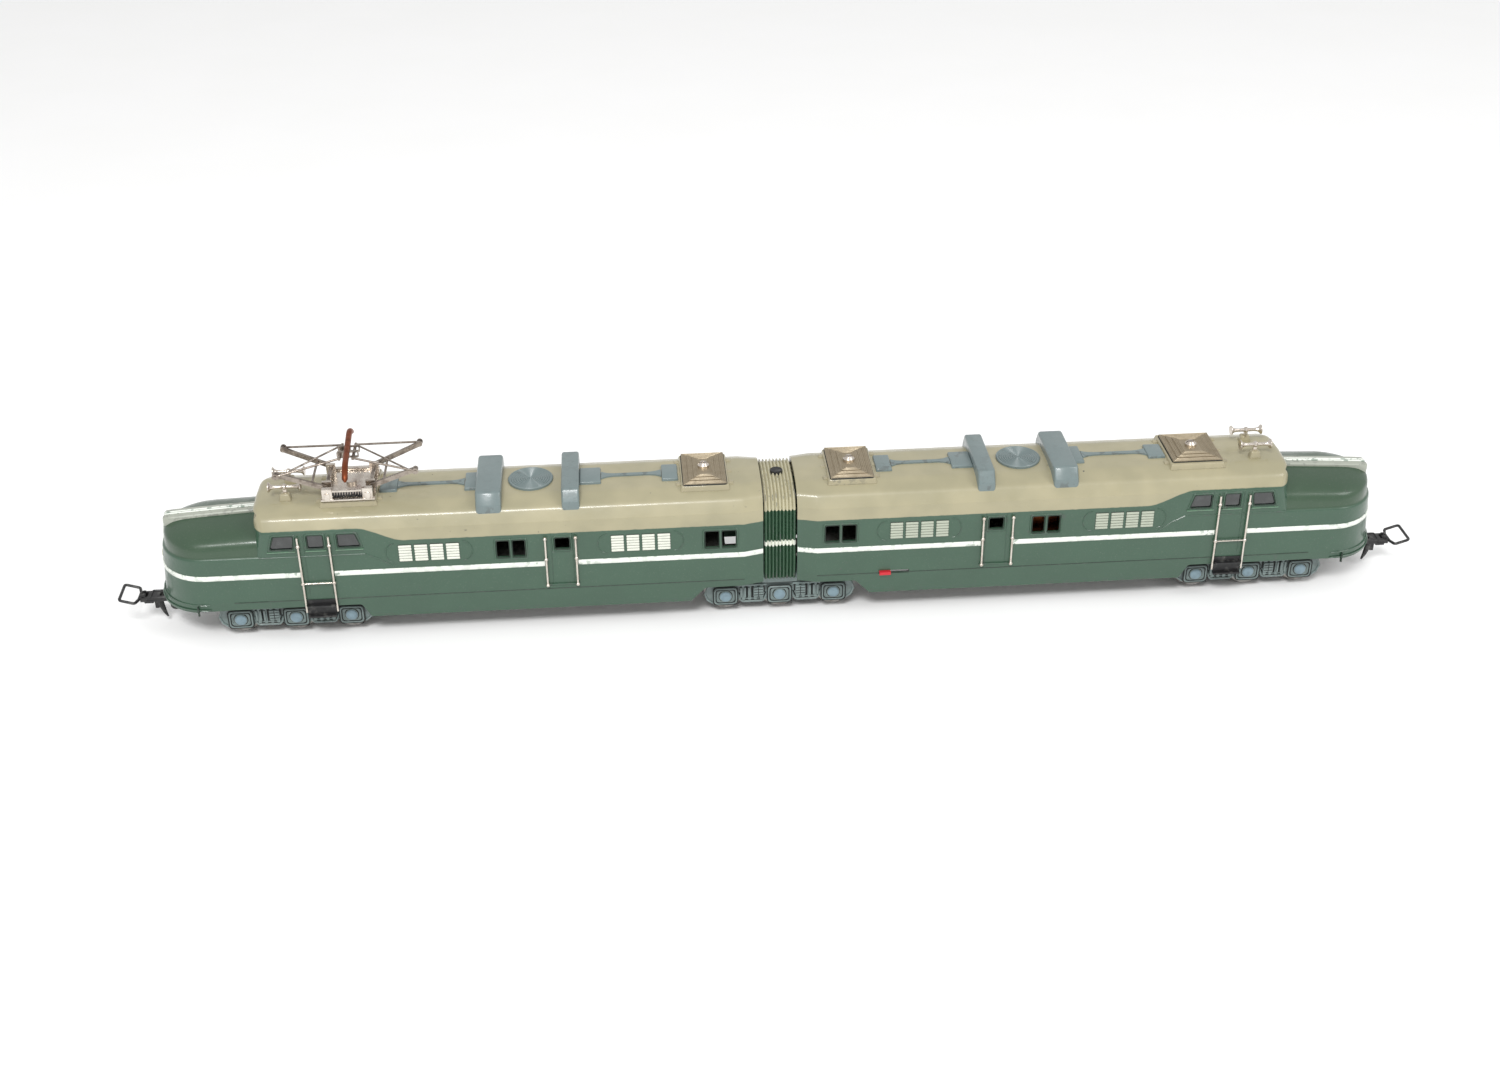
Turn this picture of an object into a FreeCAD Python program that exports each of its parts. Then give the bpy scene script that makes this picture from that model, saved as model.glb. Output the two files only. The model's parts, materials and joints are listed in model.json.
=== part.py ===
import FreeCAD, Part
import math
import os
import Sketcher
from FreeCAD import Placement, Rotation, Vector

# H0 twin-car electric locomotive: two die-cast cars share a centre bogie under a bellows.
# +X runs along the track, +Z is up, z = 0 is the bottom of the wheel flanges.

DIMENSIONS = {
    # running gear
    "flange_depth": 1.2,
    "tread_radius": 5.75,
    "wheel_back": 7.0,
    "wheel_width": 2.8,
    "flange_width": 0.9,
    "axle_radius": 1.0,
    "axle_pitch": 18.1,
    "bogie_pitch": 160.0,
    "running_gap": 0.05,
    # bogie castings
    "sideframe_outer": 12.0,
    "sideframe_inner": 10.5,
    "sideframe_half_length": 25.0,
    "cap_radius": 2.1,
    "block_half_width": 4.4,
    "yoke_bottom": 14.7,
    "yoke_top": 15.7,
    "sideframe_top": 12.4,
    "sideframe_low": 3.85,
    "axle_box_half_width": 3.8,
    "axle_box_half_height": 3.0,
    "leaf_pitch": 2.0,
    "leaf_half_width": 0.55,
    "leaf_half_height": 2.9,
    "leaf_centre_z": 7.9,
    "block_bottom": 4.4,
    "block_height": 7.1,
    "post_foot": 11.0,
    "bar_offset": 10.3,
    "bar_length": 3.4,
    "bar_span": 22.6,
    "bar_leg_y": 10.7,
    "bar_leg_width": 1.2,
    "yoke_length": 11.6,
    "yoke_half_width": 13.4,
    # car bodies
    "body_half_width": 17.0,
    "body_end": 5.6,
    "body_end_half_width": 15.3,
    "body_crease": 12.0,
    "skirt_bottom": 8.2,
    "skirt_half_width": 15.9,
    "skirt_crease_z": 16.5,
    "eaves_z": 41.6,
    "crown_z": 48.2,
    "roof_front": 169.6,
    "cab_front": 170.6,
    "ledge_z": 32.8,
    "nose_centre": 185.8,
    "nose_tip": 203.3,
    "hood_tip": 201.0,
    "hood_crown_z": 42.2,
    "ridge_half_width": 2.8,
    "wall": 1.2,
    # floors
    "floor_z": 16.2,
    "floor_thickness": 1.0,
    "floor_half_width": 15.6,
    "tongue_radius": 5.0,
    "tongue_length": 20.0,
    "tongue_gap": 0.1,
    "kingpin_radius": 1.5,
    "motor_pin_radius": 2.0,
    # motor
    "core_radius": 6.6,
    "core_thickness": 5.8,
    "shaft_radius": 0.8,
    "field_bore_radius": 7.1,
    "field_length": 20.0,
    "field_width": 6.8,
    "winding_radius": 1.7,
    "winding_offset": 6.4,
    "brush_radius": 0.75,
    "brush_offset": 2.2,
    # bellows
    "bellows_half_length": 4.6,
    "bellows_half_width": 14.3,
    "bellows_top": 46.0,
    "bellows_hole_radius": 2.0,
    # handrails and steps
    "rail_radius": 0.35,
    "stub_radius": 0.3,
    "rail_standoff": 0.9,
    "step_x": 150.2,
    "step_length": 9.0,
    # roof equipment
    "plate_z": 48.9,
    "plate_thickness": 1.2,
    "screw_radius": 1.9,
    "horn_x": 159.0,
    "horn_y": 5.8,
    "horn_z": 51.9,
    "bell_radius": 1.5,
    # headlamps
    "lamp_z": 27.0,
    "lens_radius": 1.9,
    # gears
    "gear_module": 0.5,
    "axle_teeth": 16.0,
    "idler_teeth": 21.0,
    "drive_teeth": 32.0,
    "pinion_teeth": 8.0,
    "gear_width": 1.3,
    "gear_offset": 5.55,
    # couplers
    "coupler_pivot": 196.0,
    "coupler_hinge": 211.4,
    "coupler_end": 218.7,
    "coupler_z": 10.2,
    "loop_half_width": 5.3,
    "loop_wire": 0.8,
    "shank_thickness": 1.6,
    "coupler_pin_radius": 1.4,
    # pantograph
    "panto_x": -138.4,
    "panto_pivot_x": 7.0,
    "panto_pivot_z": 52.3,
    "panto_lower_length": 16.3,
    "panto_lower_angle": 22.4,
    "panto_upper_length": 20.1,
    "panto_upper_angle": 7.8,
    "panto_knee_y": 9.3,
    "panto_bow_half": 17.6,
    "head_half_height": 1.1,
    "head_end": 1.55,
}

doc = FreeCAD.newDocument("model_locomotive")
sheet = doc.addObject("Spreadsheet::Sheet", "dims")
for row, (alias, value) in enumerate(DIMENSIONS.items(), start=1):
    sheet.set(f"A{row}", alias)
    sheet.set(f"B{row}", str(value))
    sheet.setAlias(f"B{row}", alias)
doc.recompute()

nodes = {}
AXIS = {"x": Vector(1, 0, 0), "y": Vector(0, 1, 0), "z": Vector(0, 0, 1)}


def dim(alias):
    """A driving dimension read from the sheet."""
    return float(sheet.get(alias))


def bind(obj, prop, value):
    """Sets a property to a number, or ties it to sheet cells when the value is text."""
    if isinstance(value, str):
        obj.setExpression(prop, value.replace("@", "dims."))
        return
    *path, last = prop.split(".")
    if path:
        place = obj.Placement
        setattr(place.Base, last, value)
        obj.Placement = place
    else:
        setattr(obj, last, value)


def put(obj, x, y, z, axis="z"):
    """Turns a primitive's own Z to the named axis and moves its origin."""
    obj.Placement = Placement(Vector(), Rotation(Vector(0, 0, 1), AXIS[axis]))
    for prop, value in zip("xyz", (x, y, z)):
        bind(obj, f"Placement.Base.{prop}", value)
    return obj


def block(name, cx, cy, z, length, width, height):
    """A box centred on cx and cy that stands on z."""
    obj = doc.addObject("Part::Box", name)
    for prop, value in zip(("Length", "Width", "Height"), (length, width, height)):
        bind(obj, prop, value)
    return put(obj, f"({cx}) - ({length}) / 2", f"({cy}) - ({width}) / 2", z)


def rod(name, radius, x, y, z, height, axis="z"):
    """A cylinder that starts at a point and runs along an axis."""
    obj = doc.addObject("Part::Cylinder", name)
    bind(obj, "Radius", radius)
    bind(obj, "Height", height)
    return put(obj, x, y, z, axis)


def cone(name, radius1, radius2, x, y, z, height, axis="z"):
    obj = doc.addObject("Part::Cone", name)
    bind(obj, "Radius1", radius1)
    bind(obj, "Radius2", radius2)
    bind(obj, "Height", height)
    return put(obj, x, y, z, axis)


def ball(name, radius, x, y, z):
    obj = doc.addObject("Part::Sphere", name)
    bind(obj, "Radius", radius)
    return put(obj, x, y, z)


def fuse(name, parts):
    obj = doc.addObject("Part::MultiFuse", name)
    obj.Shapes = parts
    return obj


def group(name, parts):
    obj = doc.addObject("Part::Compound", name)
    obj.Links = parts
    return obj


def cut(name, base, tools):
    obj = doc.addObject("Part::Cut", name)
    obj.Base = base
    obj.Tool = tools[0] if len(tools) == 1 else group(name + "_tools", tools)
    return obj


def shape_feature(name, shape):
    obj = doc.addObject("Part::Feature", name)
    obj.Shape = shape
    return obj


def mirrored(name, source, normal):
    obj = doc.addObject("Part::Mirroring", name)
    obj.Source = source
    obj.Normal = normal
    return obj


def both_sides(name, source):
    """The piece and its mirror image across the track's centre plane."""
    return group(name, [source, mirrored(name + "_far", source, Vector(0, 1, 0))])


def node(label, obj):
    """Registers a finished sub-part under its own name."""
    obj.Label = label
    nodes[label] = obj
    return obj


def rounded_wire(corners, to_point):
    """A closed wire through (u, v, radius) corners, with a tangent arc at each radius above 0."""
    flat = [Vector(u, v, 0) for u, v, radius in corners]
    edges = []
    starts = []
    ends = []
    arcs = []
    for index, (u, v, radius) in enumerate(corners):
        here = flat[index]
        back = flat[index - 1] - here
        ahead = flat[(index + 1) % len(flat)] - here
        if radius <= 0:
            starts.append(here)
            ends.append(here)
            arcs.append(None)
            continue
        half = back.getAngle(ahead) / 2
        reach = radius / math.tan(half)
        start = here + back.normalize() * reach
        end = here + ahead.normalize() * reach
        bisector = (back + ahead).normalize()
        middle = here + bisector * (radius / math.sin(half) - radius)
        starts.append(start)
        ends.append(end)
        arcs.append(middle)
    for index, middle in enumerate(arcs):
        if middle is not None:
            points = [to_point(p.x, p.y) for p in (starts[index], middle, ends[index])]
            edges.append(Part.Arc(*points).toShape())
        leave = to_point(ends[index].x, ends[index].y)
        arrive_flat = starts[(index + 1) % len(starts)]
        arrive = to_point(arrive_flat.x, arrive_flat.y)
        if leave.distanceToPoint(arrive) > 1e-6:
            edges.append(Part.LineSegment(leave, arrive).toShape())
    return Part.Wire(edges)


PLANES = {
    "yz": (lambda level: lambda u, v: Vector(level, u, v), Vector(1, 0, 0)),
    "xz": (lambda level: lambda u, v: Vector(u, level, v), Vector(0, 1, 0)),
    "xy": (lambda level: lambda u, v: Vector(u, v, level), Vector(0, 0, 1)),
}


def slab(corners, plane, start, end):
    """A rounded outline drawn in a plane and extruded from start to end across it."""
    mapping, normal = PLANES[plane]
    face = Part.Face(rounded_wire(corners, mapping(start)))
    return face.extrude(normal * (end - start))


def symmetric(half):
    """Completes an outline given for u >= 0 with its mirror image, walking back down."""
    rest = [(-u, v, radius) for u, v, radius in reversed(half) if u > 1e-9]
    return half + rest


def sketch_on(body, role, name):
    """A sketch attached to one of the body's own origin planes."""
    sketch = body.newObject("Sketcher::SketchObject", name)
    plane = [item for item in body.Origin.OriginFeatures if item.Role == role][0]
    sketch.AttachmentSupport = [(plane, "")]
    sketch.MapMode = "FlatFace"
    return sketch


def closed_polyline(sketch, points):
    """A closed outline whose vertices are tied to sheet cells where they are given as text."""
    count = len(points)
    values = []
    for pair in points:
        values.append([evaluate(item) for item in pair])
    for index in range(count):
        start = Vector(*values[index], 0)
        end = Vector(*values[(index + 1) % count], 0)
        sketch.addGeometry(Part.LineSegment(start, end))
    for index in range(count):
        sketch.addConstraint(Sketcher.Constraint("Coincident", index, 2, (index + 1) % count, 1))
    for index, pair in enumerate(points):
        for kind, item, value in zip(("DistanceX", "DistanceY"), pair, values[index]):
            number = sketch.addConstraint(Sketcher.Constraint(kind, -1, 1, index, 1, value))
            if isinstance(item, str):
                sketch.setExpression(f"Constraints[{number}]", item.replace("@", "dims."))


def evaluate(item):
    """The number behind a sheet expression."""
    if not isinstance(item, str):
        return float(item)
    return float(sheet.evalExpression(item.replace("@", "")))


# ---------------------------------------------------------------- running gear

AXLE_Z = "@flange_depth + @tread_radius"
axle_z = dim("flange_depth") + dim("tread_radius")


def wheel_profile(name):
    """Axle and both wheels as one turned piece: a revolved half section about its own X axis."""
    body = doc.addObject("PartDesign::Body", name)
    sketch = sketch_on(body, "XY_Plane", name + "_section")
    back = "@wheel_back"
    face = "@wheel_back + @wheel_width"
    flange = "@wheel_back + @flange_width"
    half = [
        (f"{face} + 0.5", 0),
        (f"{face} + 0.5", "@axle_radius"),
        (f"{face} - 0.7", "@axle_radius"),
        (f"{face} - 0.7", "@tread_radius - 1.5"),
        (face, "@tread_radius - 1.2"),
        (face, "@tread_radius - 0.1"),
        (f"{flange} + 0.2", "@tread_radius"),
        (f"{flange}", "@tread_radius + 0.5 * @flange_depth"),
        (f"{back} + 0.6", "@tread_radius + @flange_depth"),
        (f"{back} + 0.25", "@tread_radius + @flange_depth"),
        (back, "@tread_radius + 0.5 * @flange_depth"),
        (back, "@axle_radius + 0.8"),
        (f"{back} - 0.6", "@axle_radius + 0.8"),
        (f"{back} - 0.6", "@axle_radius"),
    ]
    other = [(f"-({u})" if isinstance(u, str) else -u, v) for u, v in reversed(half)]
    closed_polyline(sketch, half + other)
    turned = body.newObject("PartDesign::Revolution", name + "_turned")
    turned.Profile = sketch
    turned.ReferenceAxis = (sketch, ["H_Axis"])
    turned.Angle = 360
    return body


ADDENDUM = 0.82         # in modules
DEDENDUM = 1.1          # in modules
ROOT_SHARE = 0.33       # half a tooth's root, as a share of the tooth pitch
TIP_SHARE = 0.115       # half a tooth's tip


def gear_shape(teeth, phase, bore, front, width, centre_x, centre_z):
    """A spur gear about Y with straight-flanked teeth, thinned for backlash."""
    module = dim("gear_module")
    pitch_radius = module * teeth / 2
    tip_radius = pitch_radius + ADDENDUM * module
    root_radius = pitch_radius - DEDENDUM * module
    step = 2 * math.pi / teeth
    root_half = ROOT_SHARE * step
    tip_half = TIP_SHARE * step * pitch_radius / tip_radius
    points = []
    for tooth in range(int(teeth)):
        middle = phase + tooth * step
        rise = [(root_radius, -root_half), (tip_radius, -tip_half)]
        fall = [(radius, -offset) for radius, offset in reversed(rise)]
        for radius, offset in rise + fall:
            angle = middle + offset
            x = centre_x + radius * math.cos(angle)
            points.append(Vector(x, front, centre_z + radius * math.sin(angle)))
    points.append(points[0])
    blank = Part.Face(Part.makePolygon(points)).extrude(Vector(0, width, 0))
    hole = Part.makeCylinder(bore, width + 2, Vector(centre_x, front - 1, centre_z), Vector(0, 1, 0))
    return blank.cut(hole)


def meshed_phase(teeth_a, phase_a, teeth_b, direction):
    """The tooth phase of gear B that puts it in mesh with gear A, seen along direction from A to B."""
    turn = 2 * math.pi
    place_a = (direction - phase_a) * teeth_a / turn
    return direction + math.pi - (0.5 - place_a) * turn / teeth_b


module = dim("gear_module")
drive_centre = (0.0, axle_z + module * (dim("axle_teeth") + dim("drive_teeth")) / 2)
motor_centre = (0.0, drive_centre[1] + module * (dim("drive_teeth") + dim("pinion_teeth")) / 2)
idler_reach = module * (dim("axle_teeth") + dim("idler_teeth")) / 2
idler_rise = math.sqrt(idler_reach ** 2 - (dim("axle_pitch") / 2) ** 2)
bogie_a_x = -dim("bogie_pitch")

middle_phase = math.pi / 2
drive_phase = meshed_phase(dim("axle_teeth"), middle_phase, dim("drive_teeth"), math.pi / 2)
pinion_phase = meshed_phase(dim("drive_teeth"), drive_phase, dim("pinion_teeth"), math.pi / 2)


def gear(name, teeth, phase, bore, flank, x, z):
    """A spur gear of the drive bogie, on the near (-1) or far (1) side of its block."""
    front = flank * dim("gear_offset") - dim("gear_width") / 2
    solid = gear_shape(teeth, phase, bore, front, dim("gear_width"), bogie_a_x + x, z)
    return shape_feature(name, solid)


def wheelset(label, x, teeth_phase=None):
    """A wheelset at its bogie position; driven ones carry a gear behind the near wheel."""
    body = wheel_profile(label + "_turning")
    body.Placement = Placement(Vector(), Rotation(Vector(0, 0, 1), 90))
    bind(body, "Placement.Base.x", x)
    bind(body, "Placement.Base.z", AXLE_Z)
    if teeth_phase is None:
        return node(label, body)
    local_x = evaluate(x) - bogie_a_x
    gears = []
    for flank in (-1, 1) if abs(local_x) < 1 else (-1,):
        name = f"{label}_gear{flank + 1}"
        gears.append(gear(name, dim("axle_teeth"), teeth_phase, dim("axle_radius"), flank, local_x, axle_z))
    return node(label, fuse(label + "_set", [body] + gears))


side_phases = {}
for label, side in (("front", -1), ("rear", 1)):
    rise_angle = math.atan2(idler_rise, side * dim("axle_pitch") / 2)
    idler_phase = meshed_phase(dim("axle_teeth"), middle_phase, dim("idler_teeth"), rise_angle)
    fall_angle = math.atan2(-idler_rise, side * dim("axle_pitch") / 2)
    side_phases[side] = meshed_phase(dim("idler_teeth"), idler_phase, dim("axle_teeth"), fall_angle)
    idler_x = side * dim("axle_pitch") / 2
    stud = dim("axle_radius") + dim("running_gap")
    idler_z = axle_z + idler_rise
    idler = gear(f"idler_{label}", dim("idler_teeth"), idler_phase, stud, -1, idler_x, idler_z)
    node(f"idler_gear_{label}", idler)
side_phases[0] = middle_phase
node("drive_gear", gear("drive_wheel", dim("drive_teeth"), drive_phase, stud, 1, *drive_centre))

for letter, sign in (("a", "-"), ("c", "0 * "), ("b", "")):
    for number, side in enumerate((-1, 0, 1), start=1):
        phase = side_phases[side] if letter == "a" else None
        wheelset(f"wheelset_{letter}{number}", f"{sign}@bogie_pitch + {side} * @axle_pitch", phase)


# ---------------------------------------------------------------- bogie castings

POST_HEIGHT = "@yoke_top - @post_foot"
YOKE_THICKNESS = "@yoke_top - @yoke_bottom"


def sideframe_outline():
    """Outer face of a side frame in (x, z): three axle boxes joined by bowl-shaped spring panels."""
    reach = dim("sideframe_half_length")
    pitch = dim("axle_pitch")
    box_half = 4.6
    low = dim("sideframe_low")
    bowl = low + 0.3
    top = dim("sideframe_top")
    half = [
        (box_half - 0.6, low, 1.2),
        (box_half + 0.6, low + 2.2, 0.6),
        (pitch / 2 - 3.0, bowl, 1.5),
        (pitch / 2 + 3.0, bowl, 1.5),
        (pitch - box_half - 0.4, low + 2.2, 0.6),
        (pitch - box_half + 0.6, low, 1.2),
        (reach - 1.8, low, 2.0),
        (reach, low + 4.2, 2.0),
        (reach - 1.6, top - 0.6, 1.4),
        (pitch - box_half, top, 0.0),
    ]
    return symmetric(half)


def sideframe(name, x):
    """One side frame with rounded-square axle boxes, round caps and leaf-spring relief."""
    inner = dim("sideframe_inner")
    outer = dim("sideframe_outer")
    box_reach = dim("axle_box_half_width")
    box_rise = dim("axle_box_half_height")
    corners = ((-1, -1), (1, -1), (1, 1), (-1, 1))
    plate = slab(sideframe_outline(), "xz", -outer + 0.7, -inner)
    solids = [plate]
    for side in (-1, 0, 1):
        centre = side * dim("axle_pitch")
        box = [(centre + u * box_reach, axle_z + v * box_rise, 1.3) for u, v in corners]
        solids.append(slab(box, "xz", -outer, -outer + 1.0))
        cap_start = Vector(centre, -outer - 0.4, axle_z)
        solids.append(Part.makeCylinder(dim("cap_radius"), 1.4, cap_start, AXIS["y"]))
        pocket = Part.makeCylinder(1.8, 1.2, Vector(centre, -inner - 1.0, axle_z), AXIS["y"])
        solids[0] = solids[0].cut(pocket)
    wide = dim("leaf_half_width")
    tall = dim("leaf_half_height")
    for side in (-1, 1):
        for index in range(4):
            centre = side * dim("axle_pitch") / 2 + (index - 1.5) * dim("leaf_pitch")
            leaf = [(centre + u * wide, dim("leaf_centre_z") + v * tall, 0.4) for u, v in corners]
            solids.append(slab(leaf, "xz", -outer + 0.2, -outer + 0.9))
    whole = solids[0].multiFuse(solids[1:]).removeSplitter()
    whole.translate(Vector(x, 0, 0))
    return shape_feature(name, whole)


def bogie_block(name, x):
    """The casting between the wheels, with its axle bores."""
    length = "2 * @axle_pitch + 6"
    body = block(name + "_body", x, 0, "@block_bottom", length, "2 * @block_half_width", "@block_height")
    bores = []
    for side in (-1, 0, 1):
        centre = f"{x} + {side} * @axle_pitch"
        bore = f"{name}_bore{side + 1}"
        bores.append(rod(bore, "@axle_radius + @running_gap", centre, -6, AXLE_Z, 12, "y"))
    return body, bores


def cross_bars(name, x):
    """Two bars over the wheels that carry both side frames."""
    parts = []
    length = "@bar_length"
    foot = "@post_foot"
    for side in (-1, 1):
        bar_x = f"{x} + {side} * @bar_offset"
        bar = f"{name}_bar{side + 1}"
        parts.append(block(bar, bar_x, 0, "@yoke_bottom", length, "@bar_span", YOKE_THICKNESS))
        for flank in (-1, 1):
            leg = f"{name}_leg{side + 1}{flank + 1}"
            leg_y = f"{flank} * @bar_leg_y"
            parts.append(block(leg, bar_x, leg_y, foot, length, "@bar_leg_width", POST_HEIGHT))
        post = f"{name}_post{side + 1}"
        parts.append(block(post, bar_x, 0, foot, length, "2 * @block_half_width", POST_HEIGHT))
    return parts


def bogie_frame(letter, x, extra, holes):
    """A bogie casting: inner block, two side frames, and what carries them."""
    name = f"bogie_{letter}"
    inner, bores = bogie_block(name, x)
    near = sideframe(name + "_side", evaluate(x))
    far = mirrored(name + "_side_far", near, Vector(0, 1, 0))
    whole = fuse(name + "_casting", [inner, near, far] + extra)
    return node(name + "_frame", cut(name + "_machined", whole, bores + holes))


A_X = "-@bogie_pitch"
B_X = "@bogie_pitch"
C_X = "0 * @bogie_pitch"

# drive bogie: gear studs and the motor's side plate stand on the block
studs = []
idler_spots = [(side * dim("axle_pitch") / 2, axle_z + idler_rise) for side in (-1, 1)]
for index, (x, z) in enumerate(idler_spots + [drive_centre]):
    start = "-@block_half_width - 1.9" if index < 2 else "@block_half_width - 0.5"
    studs.append(rod(f"gear_stud{index}", "@axle_radius", f"-@bogie_pitch + {x}", start, z, 2.4, "y"))
motor_plate = block("motor_plate", A_X, "@block_half_width - 0.5", "@post_foot", 14.6, 1.0, 29.4)
motor_deck = block("motor_deck", A_X, 0, 39.3, 10.0, "2 * @block_half_width", 1.1)
shaft_bore = rod("motor_shaft_bore", "@shaft_radius + @running_gap", A_X, 2, motor_centre[1], 6, "y")
bogie_frame("a", A_X, cross_bars("bars_a", A_X) + studs + [motor_plate, motor_deck], [shaft_bore])

# trailing bogie: the kingpin's head sits in a pocket under the centre post
centre_post = block("post_b", B_X, 0, "@post_foot", 10.0, "2 * @block_half_width", POST_HEIGHT)
deck_b = block("deck_b", B_X, 0, 14.6, 24.0, "2 * @block_half_width", "@yoke_top - 14.6")
pin_bore_b = rod("pin_bore_b", "@kingpin_radius + @running_gap", B_X, 0, 11.0, 6.0)
pin_pocket_b = rod("pin_pocket_b", 2.9, B_X, 0, 8.6, 3.1)
bogie_frame("b", B_X, cross_bars("bars_b", B_X) + [centre_post, deck_b], [pin_bore_b, pin_pocket_b])

# centre bogie: one wide yoke carries the side frames, the bellows and the shared kingpin
yoke = block("yoke_c", C_X, 0, "@yoke_bottom", "@yoke_length", "2 * @yoke_half_width", YOKE_THICKNESS)
yoke_post = block("yoke_post_c", C_X, 0, "@post_foot", "@yoke_length", "2 * @block_half_width", POST_HEIGHT)
yoke_legs = []
for flank in (-1, 1):
    leg_y = f"{flank} * (@sideframe_outer - 0.9)"
    yoke_leg = f"yoke_leg{flank + 1}"
    yoke_legs.append(block(yoke_leg, C_X, leg_y, 11.6, "@yoke_length", 1.8, "@yoke_top - 11.6"))
pin_bore_c = rod("pin_bore_c", "@kingpin_radius", C_X, 0, 10.0, 8.0)
bogie_frame("c", C_X, [yoke, yoke_post] + yoke_legs, [pin_bore_c])

# kingpins
pin_a = rod("pin_a_shank", "@motor_pin_radius", A_X, 0, 40.4, 5.0)
node("bogie_a_pivot_pin", pin_a)
pin_b_shank = rod("pin_b_shank", "@kingpin_radius", B_X, 0, 10.9, "@floor_z + @floor_thickness - 10.9")
pin_b_head = rod("pin_b_head", 2.6, B_X, 0, 9.5, 1.5)
node("bogie_b_kingpin", fuse("pin_b", [pin_b_shank, pin_b_head]))
pin_c_shank = rod("pin_c_shank", "@kingpin_radius", C_X, 0, 10.0, 9.0)
pin_c_head = rod("pin_c_head", 2.8, C_X, 0, "@floor_z + 2 * @floor_thickness + 0.3", 1.3)
pin_c_slot = block("pin_c_slot", C_X, 0, "@floor_z + 2 * @floor_thickness + 1.0", 6.0, 0.6, 1.0)
node("bogie_c_kingpin", cut("pin_c", fuse("pin_c_solid", [pin_c_shank, pin_c_head]), [pin_c_slot]))


# ---------------------------------------------------------------- motor

motor_z = motor_centre[1]
field_foot = motor_z - 9.4
field_top = 39.3
field_height = field_top - field_foot
field_block = block("field_block", A_X, 0, field_foot, "@field_length", "@field_width", field_height)
field_bore = rod("field_bore", "@field_bore_radius", A_X, -5, motor_z, 10, "y")
node("motor_field", cut("field", field_block, [field_bore]))
core_start = "-@core_thickness / 2"
armature_core = rod("armature_core", "@core_radius", A_X, core_start, motor_z, "@core_thickness", "y")
armature_shaft = rod("armature_shaft", "@shaft_radius", A_X, -7.0, motor_z, 13.2, "y")
commutator = rod("commutator", 3.2, A_X, -3.3, motor_z, 0.4, "y")
slots = []
for index in range(3):
    angle = math.pi / 2 + index * 2 * math.pi / 3
    slot_x = f"-@bogie_pitch + @winding_offset * {math.cos(angle)}"
    slot_z = f"{motor_z} + @winding_offset * {math.sin(angle)}"
    slots.append(rod(f"winding_slot{index}", "@winding_radius", slot_x, -4, slot_z, 8, "y"))
pinion = gear("pinion", dim("pinion_teeth"), pinion_phase, dim("shaft_radius"), 1, *motor_centre)
armature_body = cut("armature_slotted", armature_core, slots)
node("motor_armature", fuse("armature", [armature_body, armature_shaft, commutator, pinion]))
brush_plate = block("brush_plate_blank", A_X, -4.1, motor_z - 8.8, 19.0, 1.4, 17.6)
brush_holes = [rod("brush_bearing", "@shaft_radius + @running_gap", A_X, -8, motor_z, 6, "y")]
brushes = []
for side in (-1, 1):
    hole_x = f"-@bogie_pitch + {side} * @brush_offset"
    brush_holes.append(rod(f"brush_hole{side + 1}", "@brush_radius", hole_x, -8, motor_z, 6, "y"))
    brushes.append(rod(f"brush{side + 1}", "@brush_radius", hole_x, -6.15, motor_z, 2.8, "y"))
node("motor_brush_plate", cut("brush_plate", brush_plate, brush_holes))
node("motor_brushes", group("brush_pair", brushes))


# ---------------------------------------------------------------- car bodies

def section_corners(inset):
    """Half cross-section of a car in (y, z): tucked skirt, flat side, rounded eaves, low crown."""
    half = dim("body_half_width") - inset
    crown = dim("crown_z") - inset
    eaves = dim("eaves_z") - 0.4 * inset
    return [
        (dim("skirt_half_width") - inset, dim("skirt_bottom") - (1 if inset else 0), 0),
        (half, dim("skirt_crease_z"), 0),
        (half, eaves, 0),
        (half - 1.5, crown - 2.6, 3.2),
        (half - 7.5, crown - 0.25, 12.0),
    ]


def body_volume(inset):
    """Main car volume for x > 0: one cross-section, trimmed to its plan and its side view."""
    end = dim("body_end") - (3 if inset else 0)
    crease = dim("body_crease")
    end_half = dim("body_end_half_width") - inset
    half = dim("body_half_width") - inset
    front = dim("roof_front") - inset
    crown = dim("crown_z") + 2
    section = slab(symmetric(section_corners(inset)), "yz", 0.0, front + 10)
    plan = [
        (end, -end_half, 0),
        (crease, -half - 0.01, 0),
        (front - 2.4, -half - 0.01, 2.0),
        (front, -9.0, 7.0),
        (front, 9.0, 7.0),
        (front - 2.4, half + 0.01, 2.0),
        (crease, half + 0.01, 0),
        (end, end_half, 0),
    ]
    low = dim("skirt_bottom") - 3
    side = [
        (end - 4, low, 0),
        (front, low, 0),
        (front, 42.0 - inset, 1.5),
        (front - 4.5, crown - 2.0, 5.0),
        (end - 4, crown - 2.0 + 0.2, 0),
    ]
    return section.common(slab(plan, "xy", low, crown)).common(slab(side, "xz", -30, 30))


def ellipse_plan(centre, tip, half, tail, level, height):
    """A tongue-shaped plan: straight sides from tail to centre, then half an ellipse to the tip."""
    reach = tip - centre
    major, minor = max(reach, half), min(reach, half)
    if reach >= half:
        axis_point = Vector(centre + major, 0, level)
        side_point = Vector(centre, minor, level)
    else:
        axis_point = Vector(centre, major, level)
        side_point = Vector(centre - minor, 0, level)
    ellipse = Part.Ellipse(axis_point, side_point, Vector(centre, 0, level))
    outer = Part.Face(Part.Wire(ellipse.toShape())).extrude(Vector(0, 0, height))
    tail_box = Part.makeBox(centre - tail, 2 * half, height, Vector(tail, -half, level))
    right = Part.makeBox(reach + 1, 2 * half + 2, height, Vector(centre, -half - 1, level))
    return tail_box.fuse(outer.common(right)).removeSplitter()


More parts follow.
